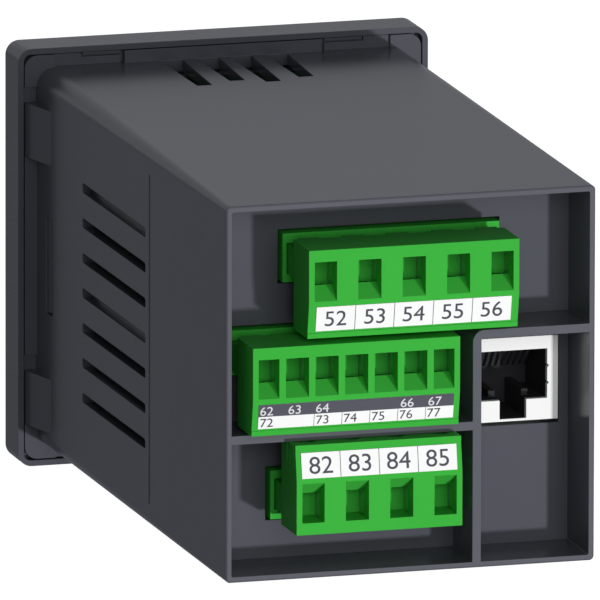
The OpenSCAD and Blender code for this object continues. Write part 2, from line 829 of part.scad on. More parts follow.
module front_bezel() {
    color(dark_grey)
        difference() {
            union() {
                difference() {
                    union() {
                        along_y([face_y + bezel_bevel, 0]) rounded(bezel_w, bezel_w, bezel_r);
                        taper([face_y, face_y + bezel_bevel + slice],
                            [bezel_w - 2 * bezel_bevel, bezel_w], [bezel_r, bezel_r]);
                    }
                    along_y([hollow_y, overrun]) rounded(hollow_w, hollow_w, bezel_inner_r);
                }
                difference() {
                    plate(hollow_w + bezel_wall, [hollow_y - slice, flange_front_y],
                        hollow_w + bezel_wall);
                    plate(hollow_w - 2 * ledge_w, [hollow_y - overrun, overrun],
                        hollow_w - 2 * ledge_w);
                }
                board_bosses([hollow_y - slice, display_board_y], boss_d);
                both_sides() snap_arm();
            }
            front_holes();
            along_y([face_y - overrun, face_y + overlay_t])
                rounded(overlay_w, overlay_w, overlay_r);
            board_bosses([hollow_y, display_board_y + overrun], screw_d);
        }
}

module fascia_overlay() {
    color("#8f949b")
        difference() {
            along_y([face_y, face_y + overlay_t]) rounded(overlay_w, overlay_w, overlay_r);
            front_holes();
        }
}

module view_layer(y, lap) {
    translate([0, 0, view_z]) plate(view_w + 2 * lap, y, view_h + 2 * lap);
}

module display_window() {
    color("#9fb4bf") view_layer([hollow_y, window_y], window_lap);
}

module lcd_panel() {
    color("#5d6b5a") view_layer([window_y, lcd_y], window_lap);
}

module lcd_backlight() {
    color("#e8e8e2") view_layer([lcd_y, display_board_y], window_lap);
}

module display_board() {
    color(board_green)
        difference() {
            plate(display_board_w, [display_board_y, display_board_rear_y], display_board_w);
            board_bosses([display_board_y - overrun, display_board_rear_y + overrun],
                screw_d + 2 * leg_gap);
            both_sides()
                block([arm_x - snap_arm_t - key_gap, arm_x + overrun],
                    [display_board_y - overrun, display_board_rear_y + overrun],
                    [-snap_h / 2, snap_h / 2]);
        }
}

module board_screws() {
    head_l = screw_d / 2;
    color(steel) {
        board_bosses([hollow_y + overrun, display_board_rear_y], screw_d);
        difference() {
            board_bosses([display_board_rear_y, display_board_rear_y + head_l], screw_head_d);
            for (x = [-1, 1], z = [-1, 1])
                translate([x * boss_at, display_board_rear_y + head_l, z * boss_at])
                    for (a = [0, 90])
                        rotate([0, a, 0])
                            plate(screw_head_d / 2, [-head_l / 2, overrun], screw_d / 4);
        }
    }
}

module light_pipes() {
    collar_d = light_d + 2 * key_lap;
    color("#dfe8ea")
        light_places() {
            along_y([face_y, collar_y]) circle(light_d / 2, $fn = round_fn);
            along_y([hollow_y, collar_y]) circle(collar_d / 2, $fn = round_fn);
            along_y([collar_y, display_board_y - switch_h / 2])
                circle(light_d / 2, $fn = round_fn);
        }
}

module status_leds() {
    color("#e9e4c8")
        light_places()
            plate(light_d, [display_board_y - switch_h / 2, display_board_y], light_d / 2);
}

// A push switch with its plunger drawn at the end of its travel
module tactile_switch() {
    plate(switch_w, [display_board_y - switch_h, display_board_y], switch_w);
    along_y([display_board_y - switch_h - plunger_l, display_board_y - switch_h + slice])
        circle(plunger_d / 2, $fn = round_fn);
}

module tactile_switches() {
    color("#2b2b2e") {
        key_places() tactile_switch();
        wide_key_places() tactile_switch();
    }
}

// A key: cap through the bezel, collar behind it and a stem towards the switch
module key(w) {
    along_y([face_y - key_proud, hollow_y + slice]) rounded(w, key_h, key_r);
    along_y([hollow_y, collar_y]) rounded(w + 2 * key_lap, key_h + 2 * key_lap, key_r);
    plate(stem_w, [collar_y - slice, collar_y + stem_l], stem_w);
}

module small_key(i) {
    color("#3d4046") translate([small_key_x[i], 0, key_z]) key(key_w);
}

module key_up() {
    small_key(0);
}

module key_down() {
    small_key(1);
}

module key_back() {
    small_key(2);
}

module key_enter() {
    small_key(3);
}

module key_test() {
    color("#3d4046") translate([-wide_key_x, 0, wide_key_z]) key(wide_key_w);
}

module key_reset() {
    color("#3d4046") translate([wide_key_x, 0, wide_key_z]) key(wide_key_w);
}

// Boards in the guides, each with its row of header pins
module at_row(row) {
    translate([row[2], 0, row[3]])
        if (row[4])
            mirror([0, 0, 1]) children();
        else
            children();
}

module leg_holes(row) {
    at_row(row)
        for (x = pole_x(row))
            translate([x, 0, 0])
                block([-pin_w / 2 - leg_gap, pin_w / 2 + leg_gap],
                    [leg_y - pin_w - leg_gap, leg_y + leg_gap], [-plug_h, 0]);
}

module board(top_z) {
    block([-board_w / 2, board_w / 2], [board_y, board_end_y], [top_z - board_t, top_z]);
}

module upper_board() {
    color(board_green)
        difference() {
            board(upper_board_z);
            leg_holes(UPPER);
        }
}

module middle_board() {
    color(board_green)
        difference() {
            board(middle_board_z);
            leg_holes(MIDDLE);
            block([-board_w, jack_x + jack_w / 2 + jack_gap],
                [jack_leg_y - jack_gap, board_end_y + overrun],
                [middle_board_z - board_t - overrun, middle_board_z + overrun]);
        }
}

module lower_board() {
    color(board_green)
        difference() {
            board(lower_board_z);
            leg_holes(LOWER);
            jack_wires()
                block([-wire_w / 2 - leg_gap, wire_w / 2 + leg_gap],
                    [jack_leg_y - leg_gap, jack_leg_y + wire_w + leg_gap],
                    [lower_board_z - board_t - overrun, lower_board_z + overrun]);
        }
}

// Pins that join the three boards to the display board
module link_places() {
    for (top_z = [upper_board_z, middle_board_z, lower_board_z])
        translate([0, 0, top_z + strip_h / 2]) children();
}

module link_strips() {
    color("#2b2b2e")
        link_places() plate(link_pins * link_pitch, [board_y, board_y + strip_h], strip_h);
}

module board_link_pins() {
    color(brass)
        link_places()
            for (i = [0:link_pins - 1])
                translate([(i - (link_pins - 1) / 2) * link_pitch, 0, 0])
                    plate(link_pin_w, [display_board_rear_y, board_y], link_pin_w);
}

// Parts on the upper board
module output_relays() {
    color("#30343a")
        for (i = [-1:1])
            translate([i * relay_pitch, 0, upper_board_z + relay_h / 2])
                plate(relay_w, [relay_y, relay_y + relay_l], relay_h);
}

module power_capacitors() {
    color("#24262c")
        for (i = [-1:1])
            translate([i * relay_pitch, capacitor_y, upper_board_z])
                cylinder(d = capacitor_d, h = capacitor_h, $fn = round_fn);
}

module surge_discs() {
    color("#1f3f7a")
        for (i = [-1:1])
            translate([i * relay_pitch, disc_y, upper_board_z + disc_d / 2])
                rotate([90, 0, 0])
                    cylinder(d = disc_d, h = disc_t, $fn = round_fn);
}

// Transformer hanging below the lower board
module transformer_core() {
    core_top = lower_board_z - board_t;
    color("#6d7075")
        translate([core_x, core_y, core_top - core_h / 2])
            difference() {
                plate(core_w, [-core_l / 2, core_l / 2], core_h);
                both_sides()
                    block([core_leg_w / 2, core_leg_w / 2 + core_window_w],
                        [-core_l, core_l], [-core_window_h / 2, core_window_h / 2]);
            }
}

module transformer_winding() {
    coil_w = core_leg_w + 2 * core_window_w - 2 * leg_gap;
    coil_l = core_l / 2 + core_window_w;
    core_top = lower_board_z - board_t;
    color("#b5541f")
        translate([core_x, core_y, core_top - core_h / 2])
            difference() {
                plate(coil_w, [-coil_l, coil_l], core_window_h);
                plate(core_leg_w, [-core_l / 2, core_l / 2], core_window_h + overrun);
            }
}

// Processor with leads on its four sides
module processor() {
    lead_w = chip_h / 4;
    lead_pitch = 2 * lead_w;
    count = floor((chip_w - 2 * chip_h) / lead_pitch);
    color("#1d1e22")
        translate([0, chip_y, middle_board_z]) {
            block([-chip_w / 2, chip_w / 2], [-chip_w / 2, chip_w / 2], [lead_w / 2, chip_h]);
            for (a = [0:90:270])
                rotate([0, 0, a])
                    for (i = [0:count - 1])
                        translate([(i - (count - 1) / 2) * lead_pitch, 0, 0])
                            block([-lead_w / 2, lead_w / 2],
                                [chip_w / 2 - lead_w, chip_w / 2 + chip_h], [0, lead_w]);
        }
}

// Header: a moulding that reaches through the recess floor, with a cavity for the neck
module header(row) {
    half = header_w(row) / 2;
    board_side = header_top - header_h(row);
    color(plug_green)
        at_row(row)
            difference() {
                union() {
                    block([-half, half], [header_back_y, header_mouth_y], [board_side, header_top]);
                    if (row[4])
                        block([-half, half], [header_back_y, board_end_y],
                            [board_side - lower_standoff, board_side]);
                }
                block([-half + header_end_t, half - header_end_t],
                    [header_floor_y, header_mouth_y + overrun],
                    [-neck_at - neck_h - neck_gap, -neck_at + neck_gap]);
                for (x = pole_x(row))
                    translate([x, 0, -pin_z])
                        plate(pin_w, [header_back_y - overrun, header_floor_y + overrun], pin_w);
            }
}

module header_pins(row) {
    board_side = header_top - header_h(row) - (row[4] ? lower_standoff : 0);
    color(steel)
        at_row(row)
            for (x = pole_x(row))
                translate([x, 0, 0]) {
                    block([-pin_w / 2, pin_w / 2], [leg_y - pin_w, header_mouth_y - 2 * pin_w],
                        [-pin_z - pin_w / 2, -pin_z + pin_w / 2]);
                    block([-pin_w / 2, pin_w / 2], [leg_y - pin_w, leg_y],
                        [board_side - board_t - pin_w, -pin_z + pin_w / 2]);
                }
}

module upper_header() {
    header(UPPER);
}

module middle_header() {
    header(MIDDLE);
}

module lower_header() {
    header(LOWER);
}

module upper_header_pins() {
    header_pins(UPPER);
}

module middle_header_pins() {
    header_pins(MIDDLE);
}

module lower_header_pins() {
    header_pins(LOWER);
}

// Plug: wire entries in the face, a sloped label face and a neck for the header
function slope_y(z) = plug_face_y - plug_slope * (-z - plug_face_h) / (plug_h - plug_face_h);

module plug_side() {
    polygon([
        [plug_rear_y, 0], [plug_face_y, 0], [plug_face_y, -plug_face_h],
        [slope_y(-lip_at), -lip_at], [slope_y(-lip_at) + plug_lip_t, -lip_at],
        [slope_y(-plug_h) + plug_lip_t, -plug_h], [plug_rear_y, -plug_h]
    ]);
}

module neck_side() {
    polygon([
        [plug_rear_y + overrun, -neck_at / 2], [plug_rear_y, -neck_at / 2],
        [plug_rear_y - neck_at, -neck_at], [neck_end_y, -neck_at],
        [neck_end_y, -neck_at - neck_h], [plug_rear_y + overrun, -neck_at - neck_h]
    ]);
}

module entry_side() {
    polygon([
        [plug_face_y + overrun, -entry_at], [cage_y, -entry_at],
        [cage_y, -entry_at - entry_h + funnel_rise],
        [plug_face_y - funnel_l, -entry_at - entry_h + funnel_rise],
        [plug_face_y, -entry_at - entry_h], [plug_face_y + overrun, -entry_at - entry_h]
    ]);
}

// Hollow for one contact and one clamp, opening to the header and to the screw end
module pole_chamber() {
    half = contact_w / 2 + chamber_gap;
    wide = cage_half + chamber_gap;
    block([-half, half], [neck_end_y - overrun, web_y + cage_t + chamber_gap],
        [-pin_z - leaf_at - cage_t - chamber_gap, -pin_z + leaf_at + cage_t + chamber_gap]);
    block([-half, half], [web_y - chamber_gap, cage_y + overrun],
        [-tongue_at - cage_t - chamber_gap, -tongue_at + chamber_gap]);
    block([-half, half], [web_y - chamber_gap, web_y + cage_t + chamber_gap],
        [-tongue_at - cage_t - chamber_gap, -pin_z]);
    difference() {
        block([-wide, wide], [cage_y - chamber_gap, cage_y + cage_l + chamber_gap],
            [-cage_at - cage_h - chamber_gap, -cage_at + chamber_gap]);
        block([-entry_w / 2, entry_w / 2], [cage_y - overrun, plug_face_y],
            [-entry_at, -entry_at + roof_t - chamber_gap]);
    }
    translate([0, clamp_y, -plug_h - overrun])
        cylinder(d = clamp_head_d + 2 * chamber_gap, h = plug_h + overrun - cage_at - cage_h,
            $fn = round_fn);
}

// Coding grooves run down both ends of a plug from the end beyond its label
module code_cuts(row) {
    both_sides()
        for (i = [0:code_grooves - 1])
            translate([plug_w(row) / 2, plug_face_y - plug_slope - (i + 1 / 2) * code_pitch, 0])
                block([-code_w, overrun], [-code_w / 2, code_w / 2],
                    [-plug_h - overrun, -plug_h + code_l]);
}

module plug(row) {
    half = plug_w(row) / 2;
    last = poles(row) - 1;
    outer = end_l(row) - entry_end_wall;
    color(plug_green)
        at_row(row)
            difference() {
                union() {
                    along_x([-half, half]) plug_side();
                    along_x([-half + neck_end_in, half - neck_end_in]) neck_side();
                    for (x = pole_x(row))
                        translate([x, 0, 0])
                            block([-tab_w / 2, tab_w / 2], [plug_rear_y - tab_l, plug_rear_y + slice],
                                [-neck_at, 0]);
                }
                for (i = [0:last])
                    translate([pole_x(row)[i], 0, 0]) {
                        along_x([
                            -min(entry_w / 2, i == 0 ? outer : entry_w),
                            min(entry_w / 2, i == last ? outer : entry_w)
                        ]) entry_side();
                        pole_chamber();
                    }
                if (row[4])
                    code_cuts(row);
            }
}

module clamp_cage() {
    inner = cage_half - cage_t;
    difference() {
        block([-cage_half, cage_half], [cage_y, cage_y + cage_l],
            [-cage_at - cage_h, -cage_at]);
        block([-inner, inner], [cage_y - overrun, cage_y + cage_l + overrun],
            [-cage_at - cage_h + 2 * cage_t, -cage_at - cage_t]);
        translate([0, clamp_y, -cage_at - cage_h - overrun])
            cylinder(d = clamp_screw_d + 2 * chamber_gap, h = cage_t * 2 + 2 * overrun,
                $fn = round_fn);
    }
}

module clamp_screw() {
    head_z = -plug_h + clamp_screw_in;
    translate([0, clamp_y, 0])
        difference() {
            union() {
                translate([0, 0, head_z])
                    cylinder(d = clamp_head_d, h = clamp_head_l, $fn = round_fn);
                translate([0, 0, head_z])
                    cylinder(d = clamp_screw_d, h = -tongue_at - cage_t - head_z, $fn = round_fn);
            }
            block([-clamp_head_d, clamp_head_d], [-cage_t, cage_t],
                [head_z - overrun, head_z + clamp_head_l / 2]);
        }
}

// A spring contact: two leaves round the pin and a tongue below the wire
module spring_contact() {
    low = pin_z + leaf_at;
    high = pin_z - leaf_at;
    leaf_y = neck_end_y + cage_t;
    along_x([-contact_w / 2, contact_w / 2])
        polygon([
            [leaf_y, -low], [web_y, -low], [web_y, -high], [leaf_y, -high],
            [leaf_y, -high + cage_t], [web_y + cage_t, -high + cage_t],
            [web_y + cage_t, -tongue_at], [cage_y + cage_l, -tongue_at],
            [cage_y + cage_l, -tongue_at - cage_t], [web_y, -tongue_at - cage_t],
            [web_y, -low - cage_t], [leaf_y, -low - cage_t]
        ]);
}

module clamps(row) {
    color(steel)
        at_row(row)
            for (x = pole_x(row))
                translate([x, 0, 0]) clamp_cage();
}

module clamp_screws(row) {
    color(steel)
        at_row(row)
            for (x = pole_x(row))
                translate([x, 0, 0]) clamp_screw();
}

module contacts(row) {
    color(brass)
        at_row(row)
            for (x = pole_x(row))
                translate([x, 0, 0]) spring_contact();
}

// A label strip that lies on the sloped face
module label(row, w) {
    top = -plug_face_h - label_margin;
    low = -lip_at + label_margin;
    color("#f2f2ee")
        at_row(row)
            along_x([-w / 2, w / 2])
                polygon([
                    [slope_y(top), top], [slope_y(top) + label_t, top],
                    [slope_y(low) + label_t, low], [slope_y(low), low]
                ]);
}

module upper_plug() {
    plug(UPPER);
}

module middle_plug() {
    plug(MIDDLE);
}

module lower_plug() {
    plug(LOWER);
}

module upper_clamps() {
    clamps(UPPER);
}

module middle_clamps() {
    clamps(MIDDLE);
}

module lower_clamps() {
    clamps(LOWER);
}

module upper_clamp_screws() {
    clamp_screws(UPPER);
}

module middle_clamp_screws() {
    clamp_screws(MIDDLE);
}

module lower_clamp_screws() {
    clamp_screws(LOWER);
}

module upper_contacts() {
    contacts(UPPER);
}

module middle_contacts() {
    contacts(MIDDLE);
}

module lower_contacts() {
    contacts(LOWER);
}

module upper_label() {
    label(UPPER, upper_label_w);
}

module middle_label() {
    label(MIDDLE, middle_label_w);
}

module lower_label() {
    label(LOWER, lower_label_w);
}

// Data jack: a white shell round a black insert with eight spring wires
module mouth(y) {
    block([jack_x - mouth_w / 2, jack_x + mouth_w / 2], y, [mouth_bottom_z, mouth_top_z]);
    block([jack_x - latch_w / 2, jack_x + latch_w / 2], y,
        [mouth_bottom_z - latch_h, mouth_top_z]);
}

module data_jack() {
    color("#e9e9e6")
        difference() {
            block([jack_x - jack_w / 2, jack_x + jack_w / 2], [jack_back_y, jack_y],
                [jack_z, jack_z + jack_h]);
            block([jack_x - jack_w / 2 + jack_wall, jack_x + jack_w / 2 - jack_wall],
                [jack_back_y - overrun, jack_y - jack_face_t],
                [jack_z + jack_floor_t, jack_z + jack_h - jack_wall]);
            mouth([jack_y - jack_face_t - overrun, jack_y + overrun]);
            for (i = [0:1])
                translate([jack_x - mouth_w / 2, 0, mouth_top_z - (i + 1) * nick_pitch])
                    along_y([jack_y - jack_face_t, jack_y + overrun])
                        circle(nick_d / 2, $fn = round_fn);
        }
}

module jack_insert() {
    color("#141416")
        difference() {
            block([jack_x - jack_w / 2 + jack_wall, jack_x + jack_w / 2 - jack_wall],
                [jack_back_y, jack_y - jack_face_t],
                [jack_z + jack_floor_t, jack_z + jack_h - jack_wall]);
            difference() {
                mouth([jack_y - mouth_l, jack_y]);
                translate([jack_x, 0, 0])
                    both_sides()
                        block([latch_w / 2, latch_w / 2 + rail_w],
                            [jack_y - mouth_l - overrun, jack_y - rail_set],
                            [mouth_bottom_z - overrun, mouth_bottom_z + rail_w]);
            }
            jack_wires() wire_slot();
        }
}

module jack_wires() {
    for (i = [0:7])
        translate([jack_x + (i - 3.5) * jack_pitch, 0, 0]) children();
}

module wire_slot() {
    block([-wire_w / 2 - chamber_gap, wire_w / 2 + chamber_gap],
        [jack_back_y - overrun, jack_y - wire_set], [mouth_top_z - wire_w, roof_z + wire_w]);
}

module jack_contacts() {
    wire_tip_y = jack_y - wire_reach;
    color(brass)
        jack_wires()
            along_x([-wire_w / 2, wire_w / 2])
                polygon([
                    [jack_leg_y, lower_board_z - board_t - wire_w], [jack_leg_y, roof_z + wire_w],
                    [jack_y - wire_set - wire_w, roof_z + wire_w],
                    [jack_y - wire_set, roof_z], [wire_tip_y, mouth_top_z - wire_drop],
                    [wire_tip_y, mouth_top_z - wire_drop + wire_w],
                    [jack_y - wire_set - 2 * wire_w, roof_z],
                    [jack_leg_y + wire_w, roof_z],
                    [jack_leg_y + wire_w, lower_board_z - board_t - wire_w]
                ]);
}

case_shell();
front_bezel();
fascia_overlay();
display_window();
lcd_panel();
lcd_backlight();
display_board();
board_screws();
light_pipes();
status_leds();
tactile_switches();
key_up();
key_down();
key_back();
key_enter();
key_test();
key_reset();
upper_board();
middle_board();
lower_board();
link_strips();
board_link_pins();
output_relays();
power_capacitors();
surge_discs();
transformer_core();
transformer_winding();
processor();
upper_header();
middle_header();
lower_header();
upper_header_pins();
middle_header_pins();
lower_header_pins();
upper_plug();
middle_plug();
lower_plug();
upper_clamps();
middle_clamps();
lower_clamps();
upper_clamp_screws();
middle_clamp_screws();
lower_clamp_screws();
upper_contacts();
middle_contacts();
lower_contacts();
upper_label();
middle_label();
lower_label();
data_jack();
jack_insert();
jack_contacts();
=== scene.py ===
# %% [markdown]
# # A panel relay, seen from its terminals
#
# A protection relay sits in a square hole in a cabinet door. Its fascia looks out of the
# door, and its long case with the terminals reaches into the cabinet. Every solid was made
# in CAD and is loaded here as it is. This lesson gives the solids their plastics, metals
# and prints, adds the printed labels and symbols, and lights the relay as in a studio.

# %% Load the solids
import math

import bmesh
import bpy
from mathutils import Matrix, Vector


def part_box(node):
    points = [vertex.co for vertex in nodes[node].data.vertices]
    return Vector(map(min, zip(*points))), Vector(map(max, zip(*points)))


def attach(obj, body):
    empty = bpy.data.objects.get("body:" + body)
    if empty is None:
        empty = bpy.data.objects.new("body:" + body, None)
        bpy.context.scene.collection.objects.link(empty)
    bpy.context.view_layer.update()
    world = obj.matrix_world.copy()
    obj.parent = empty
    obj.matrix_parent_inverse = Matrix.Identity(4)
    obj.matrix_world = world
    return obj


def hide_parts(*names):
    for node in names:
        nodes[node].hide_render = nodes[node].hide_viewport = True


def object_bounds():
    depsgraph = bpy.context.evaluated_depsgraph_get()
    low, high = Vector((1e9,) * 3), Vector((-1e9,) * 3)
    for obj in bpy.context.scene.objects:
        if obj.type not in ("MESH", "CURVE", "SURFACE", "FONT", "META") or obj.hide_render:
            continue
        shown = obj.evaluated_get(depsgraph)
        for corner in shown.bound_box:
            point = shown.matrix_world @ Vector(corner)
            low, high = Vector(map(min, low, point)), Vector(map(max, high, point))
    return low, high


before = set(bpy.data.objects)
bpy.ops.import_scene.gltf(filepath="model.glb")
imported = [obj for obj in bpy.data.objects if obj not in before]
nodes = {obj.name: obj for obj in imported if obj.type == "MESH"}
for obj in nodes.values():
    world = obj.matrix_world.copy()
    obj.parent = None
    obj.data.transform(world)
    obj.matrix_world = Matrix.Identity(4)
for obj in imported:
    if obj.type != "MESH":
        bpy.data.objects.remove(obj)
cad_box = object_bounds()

MM = 0.001
print("solids:", len(nodes))
print("box of the solids in mm:", [[round(v / MM, 2) for v in corner] for corner in cad_box])

# %% [markdown]
# The camera comes first, because everything else is judged through it. A long lens far away
# keeps the sides of the case nearly parallel, as product pictures do. The place and the
# turn were worked out from edges of the relay whose real sizes are known.

# %% Camera
AZIMUTH, ELEVATION, ROLL = math.radians(16.351), math.radians(12.396), math.radians(0.122)
PIXELS_PER_MM, DISTANCE_MM, IMAGE = 5.917, 4365.0, 600
AIM_X, AIM_Y = 223.272, 246.453

backward = Vector((
    math.sin(AZIMUTH) * math.cos(ELEVATION),
    math.cos(AZIMUTH) * math.cos(ELEVATION),
    math.sin(ELEVATION),
))
level_right = Vector((-math.cos(AZIMUTH), math.sin(AZIMUTH), 0.0))
level_up = backward.cross(level_right)
right = level_right * math.cos(ROLL) + level_up * math.sin(ROLL)
up = level_up * math.cos(ROLL) - level_right * math.sin(ROLL)
shift_x = (AIM_X - IMAGE / 2) / PIXELS_PER_MM
shift_y = (IMAGE / 2 - AIM_Y) / PIXELS_PER_MM
place = backward * DISTANCE_MM - right * shift_x - up * shift_y

camera_data = bpy.data.cameras.new("studio_camera")
camera_data.sensor_width = 36.0
camera_data.lens = PIXELS_PER_MM * DISTANCE_MM / IMAGE * camera_data.sensor_width
camera_data.clip_start = 0.1
camera_data.clip_end = 100.0
camera = bpy.data.objects.new("studio_camera", camera_data)
bpy.context.scene.collection.objects.link(camera)
turn = Matrix((right, up, backward)).transposed().to_4x4()
camera.matrix_world = Matrix.Translation(place * MM) @ turn
bpy.context.scene.camera = camera
bpy.context.scene.view_settings.view_transform = "Standard"
print("lens in mm:", round(camera_data.lens, 1))

# %% [markdown]
# Materials are built from nodes. Three small helpers serve all of them. The first turns a
# colour as a designer writes it into the linear numbers that the shader wants. The second
# adds one node with its settings and its links. The third gives a surface its fine relief
# and rounds its edges a little, because no moulded edge is truly sharp.

# %% Material helpers
def colour(text):
    """sRGB hex to linear RGBA."""
    values = [int(text[i:i + 2], 16) / 255 for i in (1, 3, 5)]
    return [v / 12.92 if v <= 0.04045 else ((v + 0.055) / 1.055) ** 2.4 for v in values] + [1.0]


def add(material, kind, inputs=None, **settings):
    """Add a node. An input is a number, a colour or another node's output."""
    node = material.node_tree.nodes.new(kind)
    for name, value in settings.items():
        setattr(node, name, value)
    for name, value in (inputs or {}).items():
        if isinstance(value, bpy.types.NodeSocket):
            material.node_tree.links.new(value, node.inputs[name])
        else:
            node.inputs[name].default_value = value
    return node


def start(name):
    """A new material with its surface shader and object coordinates."""
    material = bpy.data.materials.new(name)
    material.use_nodes = True
    material.node_tree.nodes.clear()
    shader = add(material, "ShaderNodeBsdfPrincipled")
    add(material, "ShaderNodeOutputMaterial", {"Surface": shader.outputs[0]})
    place = add(material, "ShaderNodeTexCoord").outputs["Object"]
    return material, shader, place


def link(material, output, shader, socket):
    material.node_tree.links.new(output, shader.inputs[socket])


def relief(material, shader, height, depth_mm, edge_mm):
    """Fine relief over edges that are rounded to edge_mm."""
    edge = add(material, "ShaderNodeBevel", {"Radius": edge_mm * MM}, samples=6)
    bump = add(material, "ShaderNodeBump", {
        "Height": height, "Distance": depth_mm * MM, "Normal": edge.outputs[0],
    })
    link(material, bump.outputs[0], shader, "Normal")


def grain(material, place, size_mm, detail=3.0):
    """Noise whose blotches are about size_mm wide."""
    return add(material, "ShaderNodeTexNoise", {
        "Vector": place, "Scale": 1 / (size_mm * MM), "Detail": detail,
    }).outputs[0]


DRIFT_MM, GLOSS_DRIFT = 18.0, 0.05


def moulded(name, hex_dark, hex_pale, rough, grain_mm, depth_mm, edge_mm, specular=0.5):
    """An injection-moulded plastic: soft colour drift and spark-eroded grain."""
    material, shader, place = start(name)
    drift = grain(material, place, DRIFT_MM, detail=2.0)
    tint = add(material, "ShaderNodeMix", {
        "Factor": drift, "A": colour(hex_dark), "B": colour(hex_pale),
    }, data_type="RGBA")
    link(material, tint.outputs["Result"], shader, "Base Color")
    fine = grain(material, place, grain_mm)
    gloss = add(material, "ShaderNodeMapRange", {
        "Value": fine, "To Min": rough - GLOSS_DRIFT, "To Max": rough + GLOSS_DRIFT,
    })
    link(material, gloss.outputs[0], shader, "Roughness")
    shader.inputs["Specular IOR Level"].default_value = specular
    relief(material, shader, fine, depth_mm, edge_mm)
    return material


print("white turns to", colour("#ffffff"))

# %% [markdown]
# The case and the bezel are moulded in a glass-filled polycarbonate blend, coloured through
# in a dark blue-grey. The tool is polished, so the plastic has a soft gloss: seen at a low
# angle, the top and the side mirror the flange that stands up beside them. Typical values
# for such a surface are an IOR of 1.5 and a roughness between 0.2 and 0.35. The grain of a
# tenth of a millimetre is finer than a pixel, so it only breaks the gloss a little. The keys
# are duller, and the inner parts are plain black, except the jack insert, painted lighter.

# %% Plastics
case_plastic = moulded(
    "glass-filled polycarbonate, blue-grey", "#505159", "#55565e", 0.24, 0.14, 0.002, 0.15)
bezel_plastic = moulded(
    "glass-filled polycarbonate, bezel", "#505159", "#55565e", 0.26, 0.14, 0.002, 0.2)
key_plastic = moulded(
    "silk-finished ABS, keys", "#33353a", "#383a40", 0.42, 0.2, 0.003, 0.3)
black_plastic = moulded(
    "black glass-filled nylon", "#0c0c0e", "#121214", 0.5, 0.12, 0.004, 0.12)
# The jack insert is a dark grey, not black. This is painted light that lifts the shade inside the
# jack.
lightened_insert_nylon = moulded(
    "black glass-filled nylon, jack insert", "#303033", "#38383b", 0.5, 0.12, 0.004, 0.1, 0.12)
white_plastic = moulded(
    "white moulded nylon", "#fafaf9", "#fefefd", 0.45, 0.2, 0.002, 0.12)
relay_plastic = moulded(
    "sealed relay case, dark polyester", "#1c1f24", "#23262c", 0.4, 0.3, 0.004, 0.3)
disc_coating = moulded(
    "dipped epoxy, blue", "#1c3c86", "#23469a", 0.3, 0.8, 0.02, 0.3)
print("plastics:", case_plastic.name, "|", key_plastic.name, "|", white_plastic.name)

# %% [markdown]
# The case's colour turns paler over the last quarter of a millimetre before its rear rim.
# This is a painted highlight for the light that the rim and its edges catch. It is part of
# the plastic, so the case's own colour changes by the place along the case.

# %% Painted rim highlight
RIM_HIGHLIGHT_STARTS_MM, RIM_HIGHLIGHT_FULL_MM = 0.25, 0.05
RIM_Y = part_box("case_shell")[1][1]
case_nodes = case_plastic.node_tree.nodes
case_shader = next(n for n in case_nodes if n.type == "BSDF_PRINCIPLED")
case_place = next(n for n in case_nodes if n.type == "TEX_COORD").outputs["Object"]
# Mask of the painted rim highlight: it rises from 0 to 1 over the last quarter millimetre before
# the rim.
rim_highlight_mask = add(case_plastic, "ShaderNodeMapRange", {
    "Value": add(case_plastic, "ShaderNodeSeparateXYZ", {0: case_place}).outputs["Y"],
    "From Min": RIM_Y - RIM_HIGHLIGHT_STARTS_MM * MM, "From Max": RIM_Y - RIM_HIGHLIGHT_FULL_MM * MM,
})
# Painted highlight: near the rim the case's colour is mixed towards a paler grey.
paler = add(case_plastic, "ShaderNodeMix", {
    "Factor": rim_highlight_mask.outputs[0], "A": case_shader.inputs["Base Color"].links[0].from_socket,
    "B": colour("#606169"),
}, data_type="RGBA")
link(case_plastic, paler.outputs["Result"], case_shader, "Base Color")
print("rim of the case at mm:", round(RIM_Y / MM, 2))

# %% [markdown]
# The plugs and headers are the bright green polyamide that such terminals are known by. It
# is duller than the case and mirrors very little, so its green stays even in the light.

# %% Terminal plastic
terminal_plastic = moulded(
    "moulded polyamide, terminal green", "#3cb03e", "#41b543", 0.42, 0.25, 0.002, 0.12, 0.05)
print("terminals:", terminal_plastic.name)

# %% [markdown]
# Screws, pins and clamps are tinned steel, and the spring contacts are tinned bronze. Both
# are bent or drawn, so they carry fine lines along their length.

# %% Metals
LINE_SQUEEZE, LINE_DEPTH_MM, METAL_EDGE_MM = 0.08, 0.004, 0.06


def drawn_metal(name, hex_colour, rough, line_mm):
    """A bare metal with fine lines along the relay's length."""
    material, shader, place = start(name)
    shader.inputs["Metallic"].default_value = 1.0
    stretch = add(material, "ShaderNodeMapping", {
        "Vector": place, "Scale": (1.0, LINE_SQUEEZE, 1.0),
    })
    lines = grain(material, stretch.outputs[0], line_mm)
    tint = add(material, "ShaderNodeMix", {
        "Factor": lines, "A": colour(hex_colour), "B": colour("#d9dadb"),
    }, data_type="RGBA")
    link(material, tint.outputs["Result"], shader, "Base Color")
    gloss = add(material, "ShaderNodeMapRange", {
        "Value": lines, "To Min": rough - 0.08, "To Max": rough + 0.1,
    })
    link(material, gloss.outputs[0], shader, "Roughness")
    relief(material, shader, lines, LINE_DEPTH_MM, METAL_EDGE_MM)
    return material


tinned_steel = drawn_metal("tinned steel, drawn", "#a9acb0", 0.34, 0.12)
tinned_bronze = drawn_metal("spring bronze, drawn", "#c3995a", 0.3, 0.12)
jack_wire = drawn_metal("nickelled spring wire, dulled", "#4a4b4e", 0.3, 0.12)
core_steel = drawn_metal("varnished steel laminations", "#5a5c60", 0.45, 0.35)
print("metals:", tinned_steel.name, "|", tinned_bronze.name)

# %% [markdown]
# Enamelled copper wire lies in neat turns on the transformer. Real turns are well under a
# millimetre apart. Here they are drawn coarser, as round ridges about 2.5 mm apart, a sine
# wave across the winding. The wave node makes 20 / (2 pi) waves in each of its units.

